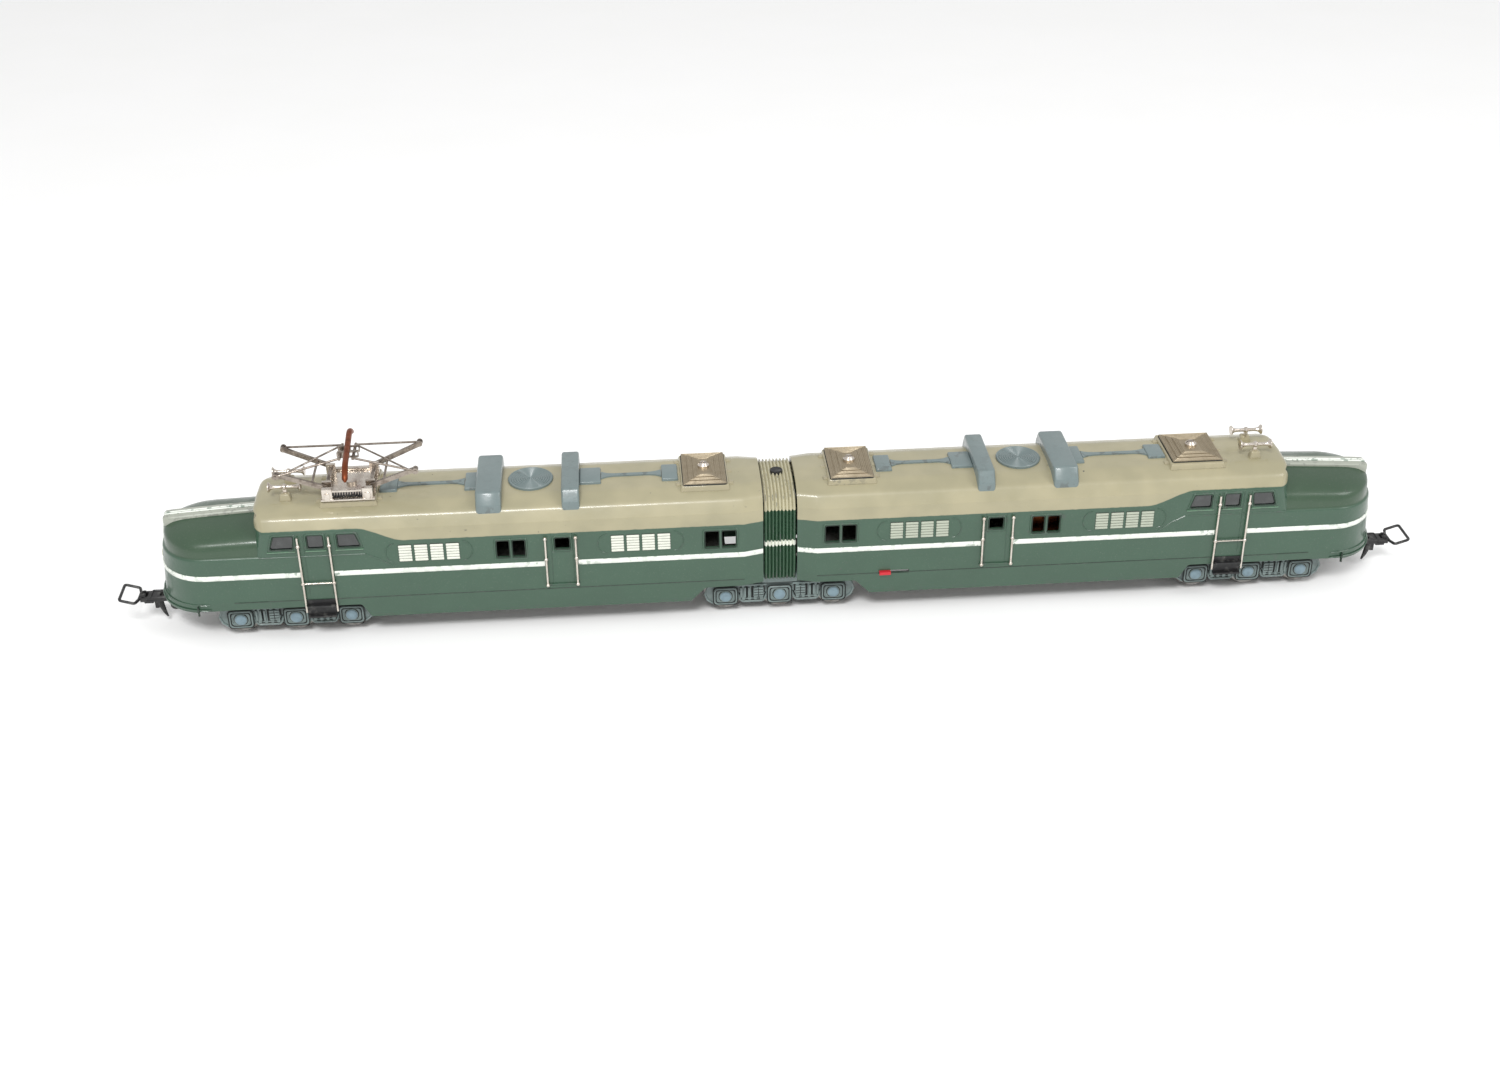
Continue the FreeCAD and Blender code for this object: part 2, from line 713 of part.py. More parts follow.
def nose_volume(inset):
    """Lower nose up to the ledge, the hood above it and, outside only, the ridge along its top."""
    half = dim("body_half_width") - inset
    low = dim("skirt_bottom") - 3
    ledge = dim("ledge_z")
    tail = 150.0
    tip = dim("nose_tip") - inset
    lower_plan = ellipse_plan(dim("nose_centre"), tip, half, tail, low, ledge - low + 12)
    waist = [
        (dim("skirt_half_width") - inset, dim("skirt_bottom") - (1 if inset else 0), 0),
        (half, dim("skirt_crease_z"), 0),
        (half, ledge - inset, 0.0),
    ]
    lower = slab(symmetric(waist), "yz", tail, 210).common(lower_plan)
    hood_half = dim("body_half_width") - 1.1 - inset
    crown = dim("hood_crown_z") - inset
    hood_section = [
        (hood_half, ledge - 3, 0),
        (hood_half, ledge + 1.2, 2.0),
        (hood_half - 3.6, ledge + 5.4, 3.0),
        (hood_half - 8.5, crown - 0.9, 5.0),
        (0.0, crown, 0),
    ]
    hood_tip = dim("hood_tip") - inset
    hood_plan = ellipse_plan(dim("nose_centre") - 4, hood_tip, hood_half, tail, ledge - 3, 14)
    hood_side = [
        (tail, ledge - 3, 0),
        (dim("hood_tip") + 1, ledge - 3, 0),
        (hood_tip, ledge + 2.5, 3.0),
        (198.4 - inset, crown - 2.2, 2.5),
        (tail, crown + 0.2, 0),
    ]
    hood = slab(symmetric(hood_section), "yz", tail, 210).common(hood_plan)
    hood = hood.common(slab(hood_side, "xz", -30, 30))
    return lower.fuse(hood)


def ridge():
    """The raised strip along the hood, ending in a beak that stands proud of the front."""
    half = dim("ridge_half_width")
    outline = [
        (dim("cab_front") + 0.4, dim("ledge_z"), 0),
        (199.4, dim("ledge_z"), 0),
        (200.9, 37.5, 1.0),
        (198.9, 40.8, 1.2),
        (dim("cab_front") + 0.4, dim("hood_crown_z") + 0.6, 0),
    ]
    return slab(outline, "xz", -half, half)


def skirt_cutouts():
    """Wheel arches of the centre and outer bogies, and the raised apron line."""
    cut_low = dim("skirt_bottom") - 4
    pitch = dim("bogie_pitch")
    centre = [(-1, cut_low, 0), (31.6, cut_low, 0), (25.2, 13.4, 1.5), (-1, 14.0, 0)]
    outer = [
        (pitch - 30.2, cut_low, 0),
        (pitch + 29.9, cut_low, 0),
        (pitch + 29.9, 13.0, 0),
        (pitch + 19.0, 13.4, 0),
        (pitch - 22.5, 13.4, 1.5),
    ]
    front = [(u, v, 0) for u, v in rectangle(pitch + 29.8, 220, cut_low, 12.7)]
    return [slab(outline, "xz", -30, 30) for outline in (centre, outer, front)]


SIDE_WINDOWS = [(14.6, 19.3), (20.1, 24.8), (83.0, 87.2), (88.1, 92.3)]
SIDE_WINDOW_Z = (28.9, 35.3)
DOOR_WINDOW = (68.6, 73.5)
DOOR_WINDOW_Z = (31.1, 35.5)
CAB_WINDOWS = [
    [(157.0, 35.6), (164.4, 35.6), (162.6, 40.4), (156.4, 40.4)],
    [(147.1, 35.6), (152.2, 35.6), (152.2, 40.4), (147.1, 40.4)],
    [(135.3, 35.6), (142.6, 35.6), (142.6, 40.4), (136.9, 40.4)],
]
WINDSCREEN_Y = (1.4, 12.6)
WINDSCREEN_Z = (43.2, 46.2)


def window_prism(corners, inner, outer, margin=0.0):
    """A window outline in (x, z), extruded across one side wall."""
    middle_x = sum(x for x, z in corners) / len(corners)
    middle_z = sum(z for x, z in corners) / len(corners)
    grown = []
    for x, z in corners:
        grown_x = x + margin * math.copysign(1, x - middle_x)
        grown_z = z + margin * math.copysign(1, z - middle_z)
        grown.append((grown_x, grown_z, 0.35))
    return slab(grown, "xz", inner, outer)


def rectangle(x0, x1, z0, z1):
    return [(x0, z0), (x1, z0), (x1, z1), (x0, z1)]


def screen_spans(margin):
    """The y ranges of the two windscreens, grown by a margin."""
    near, far = WINDSCREEN_Y
    return [(-far - margin, -near + margin), (near - margin, far + margin)]


def window_cutters():
    """All openings of one car, on both sides and in the cab front."""
    panes = [rectangle(x0, x1, *SIDE_WINDOW_Z) for x0, x1 in SIDE_WINDOWS]
    panes.append(rectangle(*DOOR_WINDOW, *DOOR_WINDOW_Z))
    panes += CAB_WINDOWS
    cutters = []
    for corners in panes:
        cutters.append(window_prism(corners, -20, -10))
        cutters.append(window_prism(corners, 10, 20))
    low, high = WINDSCREEN_Z
    for y0, y1 in screen_spans(0.0):
        screen = [(y, z, 0.5) for y, z in rectangle(y0, y1, low, high)]
        cutters.append(slab(screen, "yz", 160, 175))
    return cutters


def glazing_solids():
    """Panes that sit inside the wall behind each cab window, and one strip behind the windscreens."""
    inner = dim("body_half_width") - dim("wall")
    solids = []
    for corners in CAB_WINDOWS:
        plug = window_prism(corners, inner - 0.8, inner, 0.5)
        fill = window_prism(corners, inner - 0.2, inner + 0.8, -0.05)
        pane = plug.fuse(fill)
        solids.append(pane)
        solids.append(pane.mirror(Vector(), Vector(0, 1, 0)))
    lining = body_volume(dim("wall")).cut(body_volume(dim("wall") + 0.8))
    low, high = WINDSCREEN_Z
    for y0, y1 in screen_spans(0.6):
        band = [(y, z, 0) for y, z in rectangle(y0, y1, low - 0.6, high + 0.5)]
        solids.append(lining.common(slab(band, "yz", 165, 175)))
    return solids


def roof_saddle(x, length):
    """A raised duct across the roof with sloping flanks."""
    half = [(15.4, 44.0, 0), (15.4, 46.6, 1.0), (12.6, 51.2, 1.4)]
    return slab(symmetric(half), "yz", x - length / 2, x + length / 2)


def roof_pad(x0, x1, half, top=48.9):
    return Part.makeBox(x1 - x0, 2 * half, top - 46.5, Vector(x0, -half, 46.5))


def roof_equipment():
    """Ducts, fan, pads, conduits and the raised beds of the square plates."""
    parts = [roof_saddle(93.9, 8.2), roof_saddle(67.6, 5.8)]
    parts.append(Part.makeCylinder(7.35, 2.5, Vector(80.6, 0, 46.6)))
    parts.append(roof_pad(32.4, 38.0, 5.2))
    parts.append(roof_pad(57.5, 65.0, 5.2))
    parts.append(roof_pad(97.0, 102.0, 5.6))
    parts.append(roof_pad(123.5, 129.5, 4.5))
    parts.append(roof_pad(37.0, 58.0, 0.9, 48.8))
    parts.append(roof_pad(101.0, 124.0, 0.9, 48.8))
    parts.append(roof_pad(16.2, 31.8, 11.3, dim("plate_z")))
    parts.append(roof_pad(129.6, 147.8, 11.3, dim("plate_z")))
    return parts


def car_shell(x_sign):
    """The die-cast shell of one car, hollow, with its openings; built at x > 0 and mirrored for car A."""
    wall = dim("wall")
    outside = body_volume(0).fuse(nose_volume(0)).fuse(ridge())
    outside = outside.multiFuse(roof_equipment())
    hollow = body_volume(wall).fuse(nose_volume(wall))
    shell = outside.cut(hollow)
    shell = shell.cut(skirt_cutouts()).cut(window_cutters())
    if x_sign < 0:
        boss = Part.makeCylinder(4.0, 7.0, Vector(dim("bogie_pitch"), 0, 40.5))
        shell = shell.fuse(boss)
        pin_radius = dim("motor_pin_radius") + dim("running_gap")
        shell = shell.cut(Part.makeCylinder(pin_radius, 5.2, Vector(dim("bogie_pitch"), 0, 40.4)))
        shell = shell.mirror(Vector(), Vector(1, 0, 0))
    else:
        slot = Part.makeBox(10.2, 6, 1.3, Vector(32.5, -19, 16.0))
        shell = shell.cut(slot)
    return shell.removeSplitter()


def floor_plate(letter, sign, extra, holes):
    """A sheet floor that stops short of the bellows, with a tongue to the shared kingpin."""
    name = f"car_{letter}_floor"
    body = doc.addObject("PartDesign::Body", name + "_sheet")
    sketch = sketch_on(body, "XY_Plane", name + "_outline")
    outline = [
        (f"{sign} * 17", "-@floor_half_width"),
        (f"{sign} * 184", "-@floor_half_width"),
        (f"{sign} * 199", -7.5),
        (f"{sign} * 199", 7.5),
        (f"{sign} * 184", "@floor_half_width"),
        (f"{sign} * 17", "@floor_half_width"),
    ]
    closed_polyline(sketch, outline)
    pad = body.newObject("PartDesign::Pad", name + "_pad")
    pad.Profile = sketch
    pad.setExpression("Length", "dims.floor_thickness")
    bind(body, "Placement.Base.z", "@floor_z")
    post_x = f"{sign} * @coupler_pivot"
    shank_top = "@coupler_z + 0.9"
    post = rod(name + "_post", 3.0, post_x, 0, shank_top, "@floor_z - @coupler_z - 0.9")
    pin = rod(name + "_pin", "@coupler_pin_radius", post_x, 0, "@coupler_z - 0.9", 3.0)
    head = rod(name + "_pin_head", 2.2, post_x, 0, "@coupler_z - 1.5", 0.6)
    whole = fuse(name + "_whole", [body, post, pin, head] + extra)
    return node(name, cut(name + "_cut", whole, holes))


def kingpin_hole(name, x, radius="@kingpin_radius + @running_gap"):
    return rod(name, radius, x, 0, 14.0, 8.0)


# car A: tongue level with the floor; a well for the motor
tongue_width = "2 * @tongue_radius"
tongue_a_x = "-@tongue_length / 2"
tongue_a = block("tongue_a", tongue_a_x, 0, "@floor_z", "@tongue_length", tongue_width, "@floor_thickness")
tongue_a_end = rod("tongue_a_end", "@tongue_radius", 0, 0, "@floor_z", "@floor_thickness")
motor_well = block("motor_well", A_X, 0, 14, 42.0, 24.0, 6.0)
floor_plate("a", "-1", [tongue_a, tongue_a_end], [motor_well, kingpin_hole("hole_a", 0)])

# car B: tongue one sheet higher so that it lies over the other
tongue_b_z = "@floor_z + @floor_thickness + @tongue_gap"
tongue_b_x = "@tongue_length / 2"
tongue_b = block("tongue_b", tongue_b_x, 0, tongue_b_z, "@tongue_length", tongue_width, "@floor_thickness")
tongue_b_end = rod("tongue_b_end", "@tongue_radius", 0, 0, tongue_b_z, "@floor_thickness")
step_height = "2 * @floor_thickness + @tongue_gap"
tongue_step = block("tongue_step", 16, 0, "@floor_z", 8.0, tongue_width, step_height)
lever_notch = block("lever_notch", 37.6, -14, 14, 13.0, 6.0, 6.0)
floor_b_holes = [lever_notch, kingpin_hole("hole_b", 0), kingpin_hole("hole_b_bogie", B_X, "@kingpin_radius")]
floor_plate("b", "1", [tongue_b, tongue_b_end, tongue_step], floor_b_holes)


def square_plate(name, x, length, width):
    """A raised plate of concentric square steps, bored for its screw."""
    steps = []
    for index in range(3):
        shrink = 3.6 * index
        top = f"@plate_thickness * (1 - 0.22 * {2 - index})"
        steps.append(block(f"{name}_step{index}", x, 0, "@plate_z", length - shrink, width - shrink, top))
    hole = rod(name + "_hole", 1.0, x, 0, 40, 15)
    return cut(name, fuse(name + "_solid", steps), [hole])


def slotted_screw(name, x):
    """A domed screw head with its slot, seated on the plate."""
    seat = "@plate_z + @plate_thickness"
    head = rod(name + "_head", "@screw_radius", x, 0, seat, 0.8)
    dome = cone(name + "_dome", "@screw_radius", "@screw_radius - 0.8", x, 0, f"{seat} + 0.8", 0.8)
    shank = rod(name + "_shank", 1.0, x, 0, "@plate_z", "@plate_thickness + 0.1")
    slot = block(name + "_slot", x, 0, f"{seat} + 0.9", 5.0, 0.5, 1.0)
    return cut(name, fuse(name + "_solid", [head, dome, shank]), [slot])


CAB_RAILS = (155.1, 145.2)
DOOR_RAILS = (66.7, 76.5)


def ladder_rails(letter, sign):
    """Nickel handrails of one car, as wires with ball knobs: two by each cab door, two by each side door."""
    fitted = []
    reach = "@rail_standoff"
    for flank in (-1, 1):
        rail_y = f"{flank} * (@body_half_width + @rail_standoff)"
        stub_y = "-@body_half_width - @rail_standoff" if flank < 0 else "@body_half_width"
        wires = []
        for index, x in enumerate(CAB_RAILS):
            name = f"rail_{letter}{flank + 1}{index}"
            rail_x = f"{sign} * {x}"
            wires.append(rod(name, "@rail_radius", rail_x, rail_y, 12.2, 28.0))
            wires.append(rod(name + "_top", "@stub_radius", rail_x, stub_y, 39.7, reach, "y"))
            for knob, z in enumerate((37.0, 23.0)):
                wires.append(ball(f"{name}_knob{knob}", 0.7, rail_x, rail_y, z))
                wires.append(rod(f"{name}_stub{knob}", "@stub_radius", rail_x, stub_y, z, reach, "y"))
        rung_x = min(sign * x for x in CAB_RAILS)
        rung_length = max(CAB_RAILS) - min(CAB_RAILS)
        wires.append(rod(f"rung_{letter}{flank + 1}", 0.25, rung_x, rail_y, 23.0, rung_length, "x"))
        fitted.append(fuse(f"ladder_{letter}{flank + 1}", wires))
        for index, x in enumerate(DOOR_RAILS):
            name = f"door_rail_{letter}{flank + 1}{index}"
            rail_x = f"{sign} * {x}"
            bits = [rod(name, "@rail_radius", rail_x, rail_y, 18.2, 17.5)]
            for knob, z in enumerate((18.2, 28.0, 35.7)):
                bits.append(ball(f"{name}_knob{knob}", 0.65, rail_x, rail_y, z))
                bits.append(rod(f"{name}_stub{knob}", "@stub_radius", rail_x, stub_y, z, reach, "y"))
            fitted.append(fuse(name + "_wire", bits))
    return node(f"car_{letter}_handrails", group(f"rails_{letter}", fitted))


def steps(letter, sign):
    """A black double step hung on the skirt below the cab door, on both sides."""
    x = f"{sign} * @step_x"
    back = block(f"step_back_{letter}", x, "-@body_half_width - 0.2", 10.4, "@step_length", 0.4, 6.1)
    treads = []
    for index, z in enumerate((10.4, 14.3)):
        tread = f"tread_{letter}{index}"
        treads.append(block(tread, x, "-@body_half_width - 0.9", z, "@step_length", 1.8, 0.6))
    near = fuse(f"step_{letter}", [back] + treads)
    return node(f"car_{letter}_steps", both_sides(f"steps_{letter}", near))


def horns(letter, sign):
    """Two double-ended trumpets on small pedestals."""
    parts = []
    for flank in (-1, 1):
        name = f"horn_{letter}{flank + 1}"
        y = f"{flank} * @horn_y"
        bits = [rod(name + "_tube", 0.5, f"{sign} * @horn_x - 4", y, "@horn_z", 8.0, "x")]
        front = f"{sign} * @horn_x + 3.6"
        back = f"{sign} * @horn_x - 5.2"
        bits.append(cone(name + "_bell1", 0.5, "@bell_radius", front, y, "@horn_z", 1.6, "x"))
        bits.append(cone(name + "_bell2", "@bell_radius", 0.5, back, y, "@horn_z", 1.6, "x"))
        bits.append(block(name + "_foot", f"{sign} * @horn_x", y, 47.6, 3.0, 2.0, "@horn_z - 48.0"))
        parts.append(fuse(name, bits))
    return node(f"car_{letter}_horns", group(f"horns_{letter}", parts))


def headlamp(letter, sign):
    """A lamp lens let into the nose and its bulb behind."""
    tip = f"{sign} * (@nose_tip - 0.4)"
    start = f"{tip} - 2.2" if sign > 0 else tip
    node(f"car_{letter}_headlamp_lens", rod(f"lens_{letter}", "@lens_radius", start, 0, "@lamp_z", 2.2, "x"))
    glass_x = 196 if sign > 0 else -199
    socket_x = 192 if sign > 0 else -196
    glass = rod(f"bulb_glass_{letter}", 1.7, glass_x, 0, "@lamp_z", 3.0, "x")
    socket = rod(f"bulb_socket_{letter}", 2.2, socket_x, 0, "@lamp_z", 4.0, "x")
    deck = "@floor_z + @floor_thickness"
    height = "@lamp_z - 1 - @floor_z - @floor_thickness"
    stand = block(f"bulb_stand_{letter}", sign * 194, 0, deck, 3.0, 3.0, height)
    return node(f"car_{letter}_bulb", fuse(f"bulb_{letter}", [glass, socket, stand]))


for letter, sign in (("a", -1), ("b", 1)):
    shell = car_shell(sign)
    pedestals = []
    for flank in (-1, 1):
        corner = Vector(sign * dim("horn_x") - 1.5, flank * dim("horn_y") - 1.0, 47.6)
        pedestals.append(Part.makeBox(3.0, 2.0, 6.0, corner))
    lens_start = Vector(sign * 200.6, 0, dim("lamp_z"))
    lens_hole = Part.makeCylinder(dim("lens_radius"), 4.0, lens_start, Vector(sign, 0, 0))
    shell = shell.cut(pedestals + [lens_hole])
    node(f"car_{letter}_shell", shape_feature(f"shell_{letter}", shell))
    panes = Part.makeCompound(glazing_solids())
    if sign < 0:
        panes = panes.mirror(Vector(), Vector(1, 0, 0))
    node(f"car_{letter}_glazing", shape_feature(f"panes_{letter}", panes))
    ladder_rails(letter, sign)
    steps(letter, sign)
    horns(letter, sign)
    headlamp(letter, sign)

node("car_a_roof_plate", square_plate("plate_a", "-24", 14.0, 21.0))
plates_b = [square_plate("plate_b1", "24", 14.0, 21.0), square_plate("plate_b2", "138.8", 16.6, 19.0)]
node("car_b_roof_plates", group("plates_b", plates_b))
screws_b = [slotted_screw("screw_b1", "24"), slotted_screw("screw_b2", "138.8")]
node("car_b_roof_screws", group("screws_b", screws_b))

# current changeover lever in its slot, and the reversing relay
lever_tab = block("lever_tab", 34.6, -15.4, 16.1, 3.7, 5.6, 1.1)
lever_slide = block("lever_slide", 34.6, -11.8, 17.2, 6.0, 6.0, 0.8)
node("changeover_lever", fuse("lever", [lever_tab, lever_slide]))
relay_base = block("relay_base", 96, 0, "@floor_z + @floor_thickness", 30.0, 18.0, 1.0)
relay_cheeks = []
for index, x in enumerate((83.0, 109.0)):
    relay_cheeks.append(block(f"relay_cheek{index}", x, 0, 18.0, 1.2, 14.0, 14.0))
coil_hole = rod("relay_coil_hole", 2.0, 80, 0, 26.0, 34.0, "x")
relay_solid = fuse("relay_frame_solid", [relay_base] + relay_cheeks)
node("relay_frame", cut("relay_frame_cut", relay_solid, [coil_hole]))
coil = rod("relay_winding", 6.0, 84.0, 0, 26.0, 24.0, "x")
core = rod("relay_core", 2.0, 82.4, 0, 26.0, 27.2, "x")
node("relay_coil", fuse("relay_coil_solid", [coil, core]))


# ---------------------------------------------------------------- bellows

def bellows_shape():
    """An arch of nine ribs, hollow from car to car, with a screwdriver hole in its top."""
    half = dim("bellows_half_width")
    top = dim("bellows_top")
    base = dim("yoke_top")
    length = dim("bellows_half_length")
    ribs = 9
    width = 2 * length / (2 * ribs - 1)
    solids = []
    for index in range(2 * ribs - 1):
        shrink = 0.0 if index % 2 == 0 else 0.5
        start = -length + index * width
        arch = [
            (half - shrink - 0.6, base, 0),
            (half - shrink, 20.0, 0),
            (half - shrink, 41.0, 0),
            (half - shrink - 2.0, top - shrink - 2.4, 3.0),
            (half - shrink - 7.5, top - shrink, 8.0),
        ]
        solids.append(slab(symmetric(arch), "yz", start, start + width))
    outer = solids[0].multiFuse(solids[1:])
    tunnel = [(half - 1.9, base - 1, 0), (half - 1.9, 41.0, 0), (half - 6.0, top - 3.0, 3.0)]
    inner = slab(symmetric(tunnel), "yz", -length - 1, length + 1)
    hole = Part.makeCylinder(dim("bellows_hole_radius"), 8, Vector(0, 0, top - 6))
    return outer.cut(inner).cut(hole)


node("bellows", shape_feature("bellows_casting", bellows_shape()))


# ---------------------------------------------------------------- pickup shoe

shoe_bar = block("shoe_bar", B_X, 0, 0.3, 36.0, 3.2, 0.5)
shoe_tips = []
for side in (-1, 1):
    tip = block(f"shoe_tip{side + 1}", f"@bogie_pitch + {side} * 19.6", 0, 0.7, 3.6, 3.2, 0.5)
    shoe_tips.append(tip)
shoe_pads = []
for side in (-1, 1):
    pad = block(f"shoe_pad{side + 1}", f"@bogie_pitch + {side} * 6", 0, 0.7, 4.0, 2.4, 0.4)
    shoe_pads.append(pad)
node("pickup_shoe", fuse("shoe", [shoe_bar] + shoe_tips + shoe_pads))


def leaf_spring():
    """Two leaves that splay from the bogie's underside down to the shoe's pads."""
    centre = dim("bogie_pitch")
    leaves = []
    for side in (-1, 1):
        outline = [
            (centre + side * 0.0, 4.4, 0),
            (centre + side * 3.0, 4.4, 0),
            (centre + side * 8.0, 1.1, 0),
            (centre + side * 4.4, 1.1, 0),
            (centre + side * 0.0, 3.9, 0),
        ]
        leaves.append(slab(outline, "xz", -1.0, 1.0))
    return leaves[0].fuse(leaves[1])


node("pickup_spring", shape_feature("pickup_leaf", leaf_spring()))


# ---------------------------------------------------------------- couplers

def coupler(letter, sign):
    """A flat shank on a vertical pin and a loop hinged at its end."""
    name = f"coupler_{letter}"
    pivot = f"{sign} * @coupler_pivot"
    hinge = f"{sign} * @coupler_hinge"
    bottom = "@coupler_z - @shank_thickness / 2"
    thick = "@shank_thickness"
    eye = rod(name + "_eye", 3.0, pivot, 0, bottom, thick)
    bar_x = f"{sign} * (@coupler_pivot + @coupler_hinge - 1.6) / 2"
    bar = block(name + "_bar", bar_x, 0, bottom, "@coupler_hinge - @coupler_pivot - 1.6", 4.4, thick)
    fork_x = f"{sign} * (@coupler_hinge - 0.6)"
    cheeks = []
    for flank in (-1, 1):
        cheeks.append(block(f"{name}_cheek{flank + 1}", fork_x, f"{flank} * 1.8", bottom, 2.8, 0.8, thick))
    pin = rod(name + "_pin", 0.4, hinge, -2.2, "@coupler_z", 4.4, "y")
    hook_x = f"{sign} * (@coupler_hinge - 4)"
    prong = block(name + "_prong", hook_x, 0, "@coupler_z - 4.2", 1.2, 1.6, 3.6)
    hole = rod(name + "_hole", "@coupler_pin_radius + @running_gap", pivot, 0, 5.0, 10.0)
    window = block(name + "_window", f"{sign} * (@coupler_hinge - 8)", 0, 5.0, 5.0, 2.2, 10.0)
    whole = fuse(name + "_whole", [eye, bar, pin, prong] + cheeks)
    node(name + "_shank", cut(name + "_shaped", whole, [hole, window]))
    # loop: an eye between the fork's cheeks, then a frame
    wire = "@loop_wire"
    low = "@coupler_z - @loop_wire / 2"
    ring = rod(name + "_loop_eye", wire, hinge, -1.3, "@coupler_z", 2.6, "y")
    neck = block(name + "_neck", f"{sign} * (@coupler_hinge + 0.8)", 0, low, 1.2, 2.6, wire)
    loop_bars = []
    for index, x in enumerate(("@coupler_hinge + 1.6", "@coupler_end - 0.4")):
        width = "2 * @loop_half_width"
        bar_name = f"{name}_loop_bar{index}"
        loop_bars.append(block(bar_name, f"{sign} * ({x})", 0, low, wire, width, wire))
    for flank in (-1, 1):
        side_x = f"{sign} * (@coupler_hinge + 1.2 + @coupler_end) / 2"
        side_y = f"{flank} * (@loop_half_width - @loop_wire / 2)"
        side_name = f"{name}_loop_side{flank + 1}"
        length = "@coupler_end - @coupler_hinge - 1.2"
        loop_bars.append(block(side_name, side_x, side_y, low, length, wire, wire))
    bore = rod(name + "_loop_bore", "0.4 + @running_gap", hinge, -4, "@coupler_z", 8, "y")
    loop = cut(name + "_loop_cut", fuse(name + "_loop_solid", [ring, neck] + loop_bars), [bore])
    node(name + "_loop", loop)


coupler("a", -1)
coupler("b", 1)


# ---------------------------------------------------------------- pantograph

panto_x = dim("panto_x")
pivot_z = dim("panto_pivot_z")
lower_angle = math.radians(dim("panto_lower_angle"))
upper_angle = math.radians(dim("panto_upper_angle"))
knee_reach = dim("panto_pivot_x") + dim("panto_lower_length") * math.cos(lower_angle)
knee_z = pivot_z + dim("panto_lower_length") * math.sin(lower_angle)
head_reach = knee_reach - dim("panto_upper_length") * math.cos(upper_angle)
head_z = knee_z + dim("panto_upper_length") * math.sin(upper_angle)


def bar_between(start, end, radius):
    """A round wire between two points."""
    direction = end - start
    return Part.makeCylinder(radius, direction.Length, start, direction)


def channel_between(start, end, width, height):
    """A flat bar between two points, its width along Y."""
    direction = end - start
    across = Vector(0, 1, 0)
    lift = across.cross(direction).normalize()
    side = direction.cross(lift).normalize()
    corner = start - side * width / 2 - lift * height / 2
    points = [corner, corner + side * width, corner + side * width + lift * height, corner + lift * height]
    return Part.Face(Part.makePolygon(points + [points[0]])).extrude(direction)


def lower_arm(side):
    """A shaft in the base with two sheet arms out to the knees, each ending in a knee pin."""
    pivot_x = panto_x + side * dim("panto_pivot_x")
    knee_x = panto_x + side * knee_reach
    inner_y = 7.4
    knee_y = dim("panto_knee_y")
    shaft_start = Vector(pivot_x, -inner_y - 0.6, pivot_z)
    solids = [Part.makeCylinder(0.6, 2 * inner_y + 1.2, shaft_start, AXIS["y"])]
    for flank in (-1, 1):
        start = Vector(pivot_x, flank * inner_y, pivot_z)
        end = Vector(knee_x, flank * (knee_y - 0.6), knee_z)
        solids.append(channel_between(start, end, 1.0, 1.5))
        boss_start = Vector(knee_x, flank * (knee_y - 0.6) - 0.5, knee_z)
        solids.append(Part.makeCylinder(0.9, 1.0, boss_start, AXIS["y"]))
        pin_start = Vector(knee_x, flank * (knee_y - 0.7), knee_z)
        solids.append(Part.makeCylinder(0.45, 2.1, pin_start, Vector(0, flank, 0)))
    brace_reach = 4.4
    brace_x = pivot_x + side * brace_reach
    brace_z = pivot_z + brace_reach * math.tan(lower_angle)
    brace_end = Vector(0, inner_y + 0.4, 0)
    middle = Vector(brace_x, 0, brace_z)
    solids.append(bar_between(middle - brace_end, middle + brace_end, 0.4))
    return solids[0].multiFuse(solids[1:])


def upper_arm(side):
    """Wires from both knees to a cross rod under the head, with one diagonal."""
    rod_half = 5.2
    knee_x = panto_x + side * knee_reach
    top_x = panto_x + side * head_reach
    knee_y = dim("panto_knee_y") + 0.8
    solids = []
    solids.append(Part.makeCylinder(0.5, 2 * rod_half, Vector(top_x, -rod_half, head_z), AXIS["y"]))
    top_y = rod_half - 0.5
    for flank in (-1, 1):
        knee = Vector(knee_x, flank * knee_y, knee_z)
        solids.append(Part.makeCylinder(1.0, 0.8, knee - Vector(0, 0.4, 0), AXIS["y"]))
        solids.append(bar_between(knee, Vector(top_x, flank * top_y, head_z), 0.35))
    near_knee = Vector(knee_x, -knee_y, knee_z)
    branch = near_knee + (Vector(top_x, -top_y, head_z) - near_knee) * 0.1
    solids.append(bar_between(branch, Vector(top_x, top_y, head_z), 0.3))
    whole = solids[0].multiFuse(solids[1:])
    bore = Part.makeCylinder(0.45 + dim("running_gap"), 40, Vector(knee_x, -20, knee_z), AXIS["y"])
    return whole.cut(bore)


base_sheet = block("panto_sheet", "@panto_x", 0, "@plate_z", 16.4, 21.0, 1.0)
base_blocks = []
for flank in (-1, 1):
    for side in (-1, 1):
        spot_x = f"@panto_x + {side} * @panto_pivot_x"
        name = f"panto_lug{flank + 1}{side + 1}"
        base_blocks.append(block(name, spot_x, f"{flank} * 6.0", "@plate_z", 3.0, 1.2, 5.0))
shaft_bores = []
for side in (-1, 1):
    spot_x = f"@panto_x + {side} * @panto_pivot_x"
    bore = f"panto_bore{side + 1}"
    shaft_bores.append(rod(bore, "0.6 + @running_gap", spot_x, -12, "@panto_pivot_z", 24, "y"))
post_blocks = []
for side in (-1, 1):
    post_x = f"@panto_x + {side} * 6.6"
    post_blocks.append(block(f"panto_post{side + 1}", post_x, -9.8, "@plate_z", 2.6, 1.4, 2.9))
panto_screw_hole = rod("panto_screw_hole", 1.0, "@panto_x", 0, 40, 15)
base_solid = fuse("panto_base_solid", [base_sheet] + base_blocks + post_blocks)
node("panto_base", cut("panto_base_cut", base_solid, shaft_bores + [panto_screw_hole]))
panto_shank = rod("panto_screw_shank", 1.0, "@panto_x", 0, "@plate_z", 1.0)
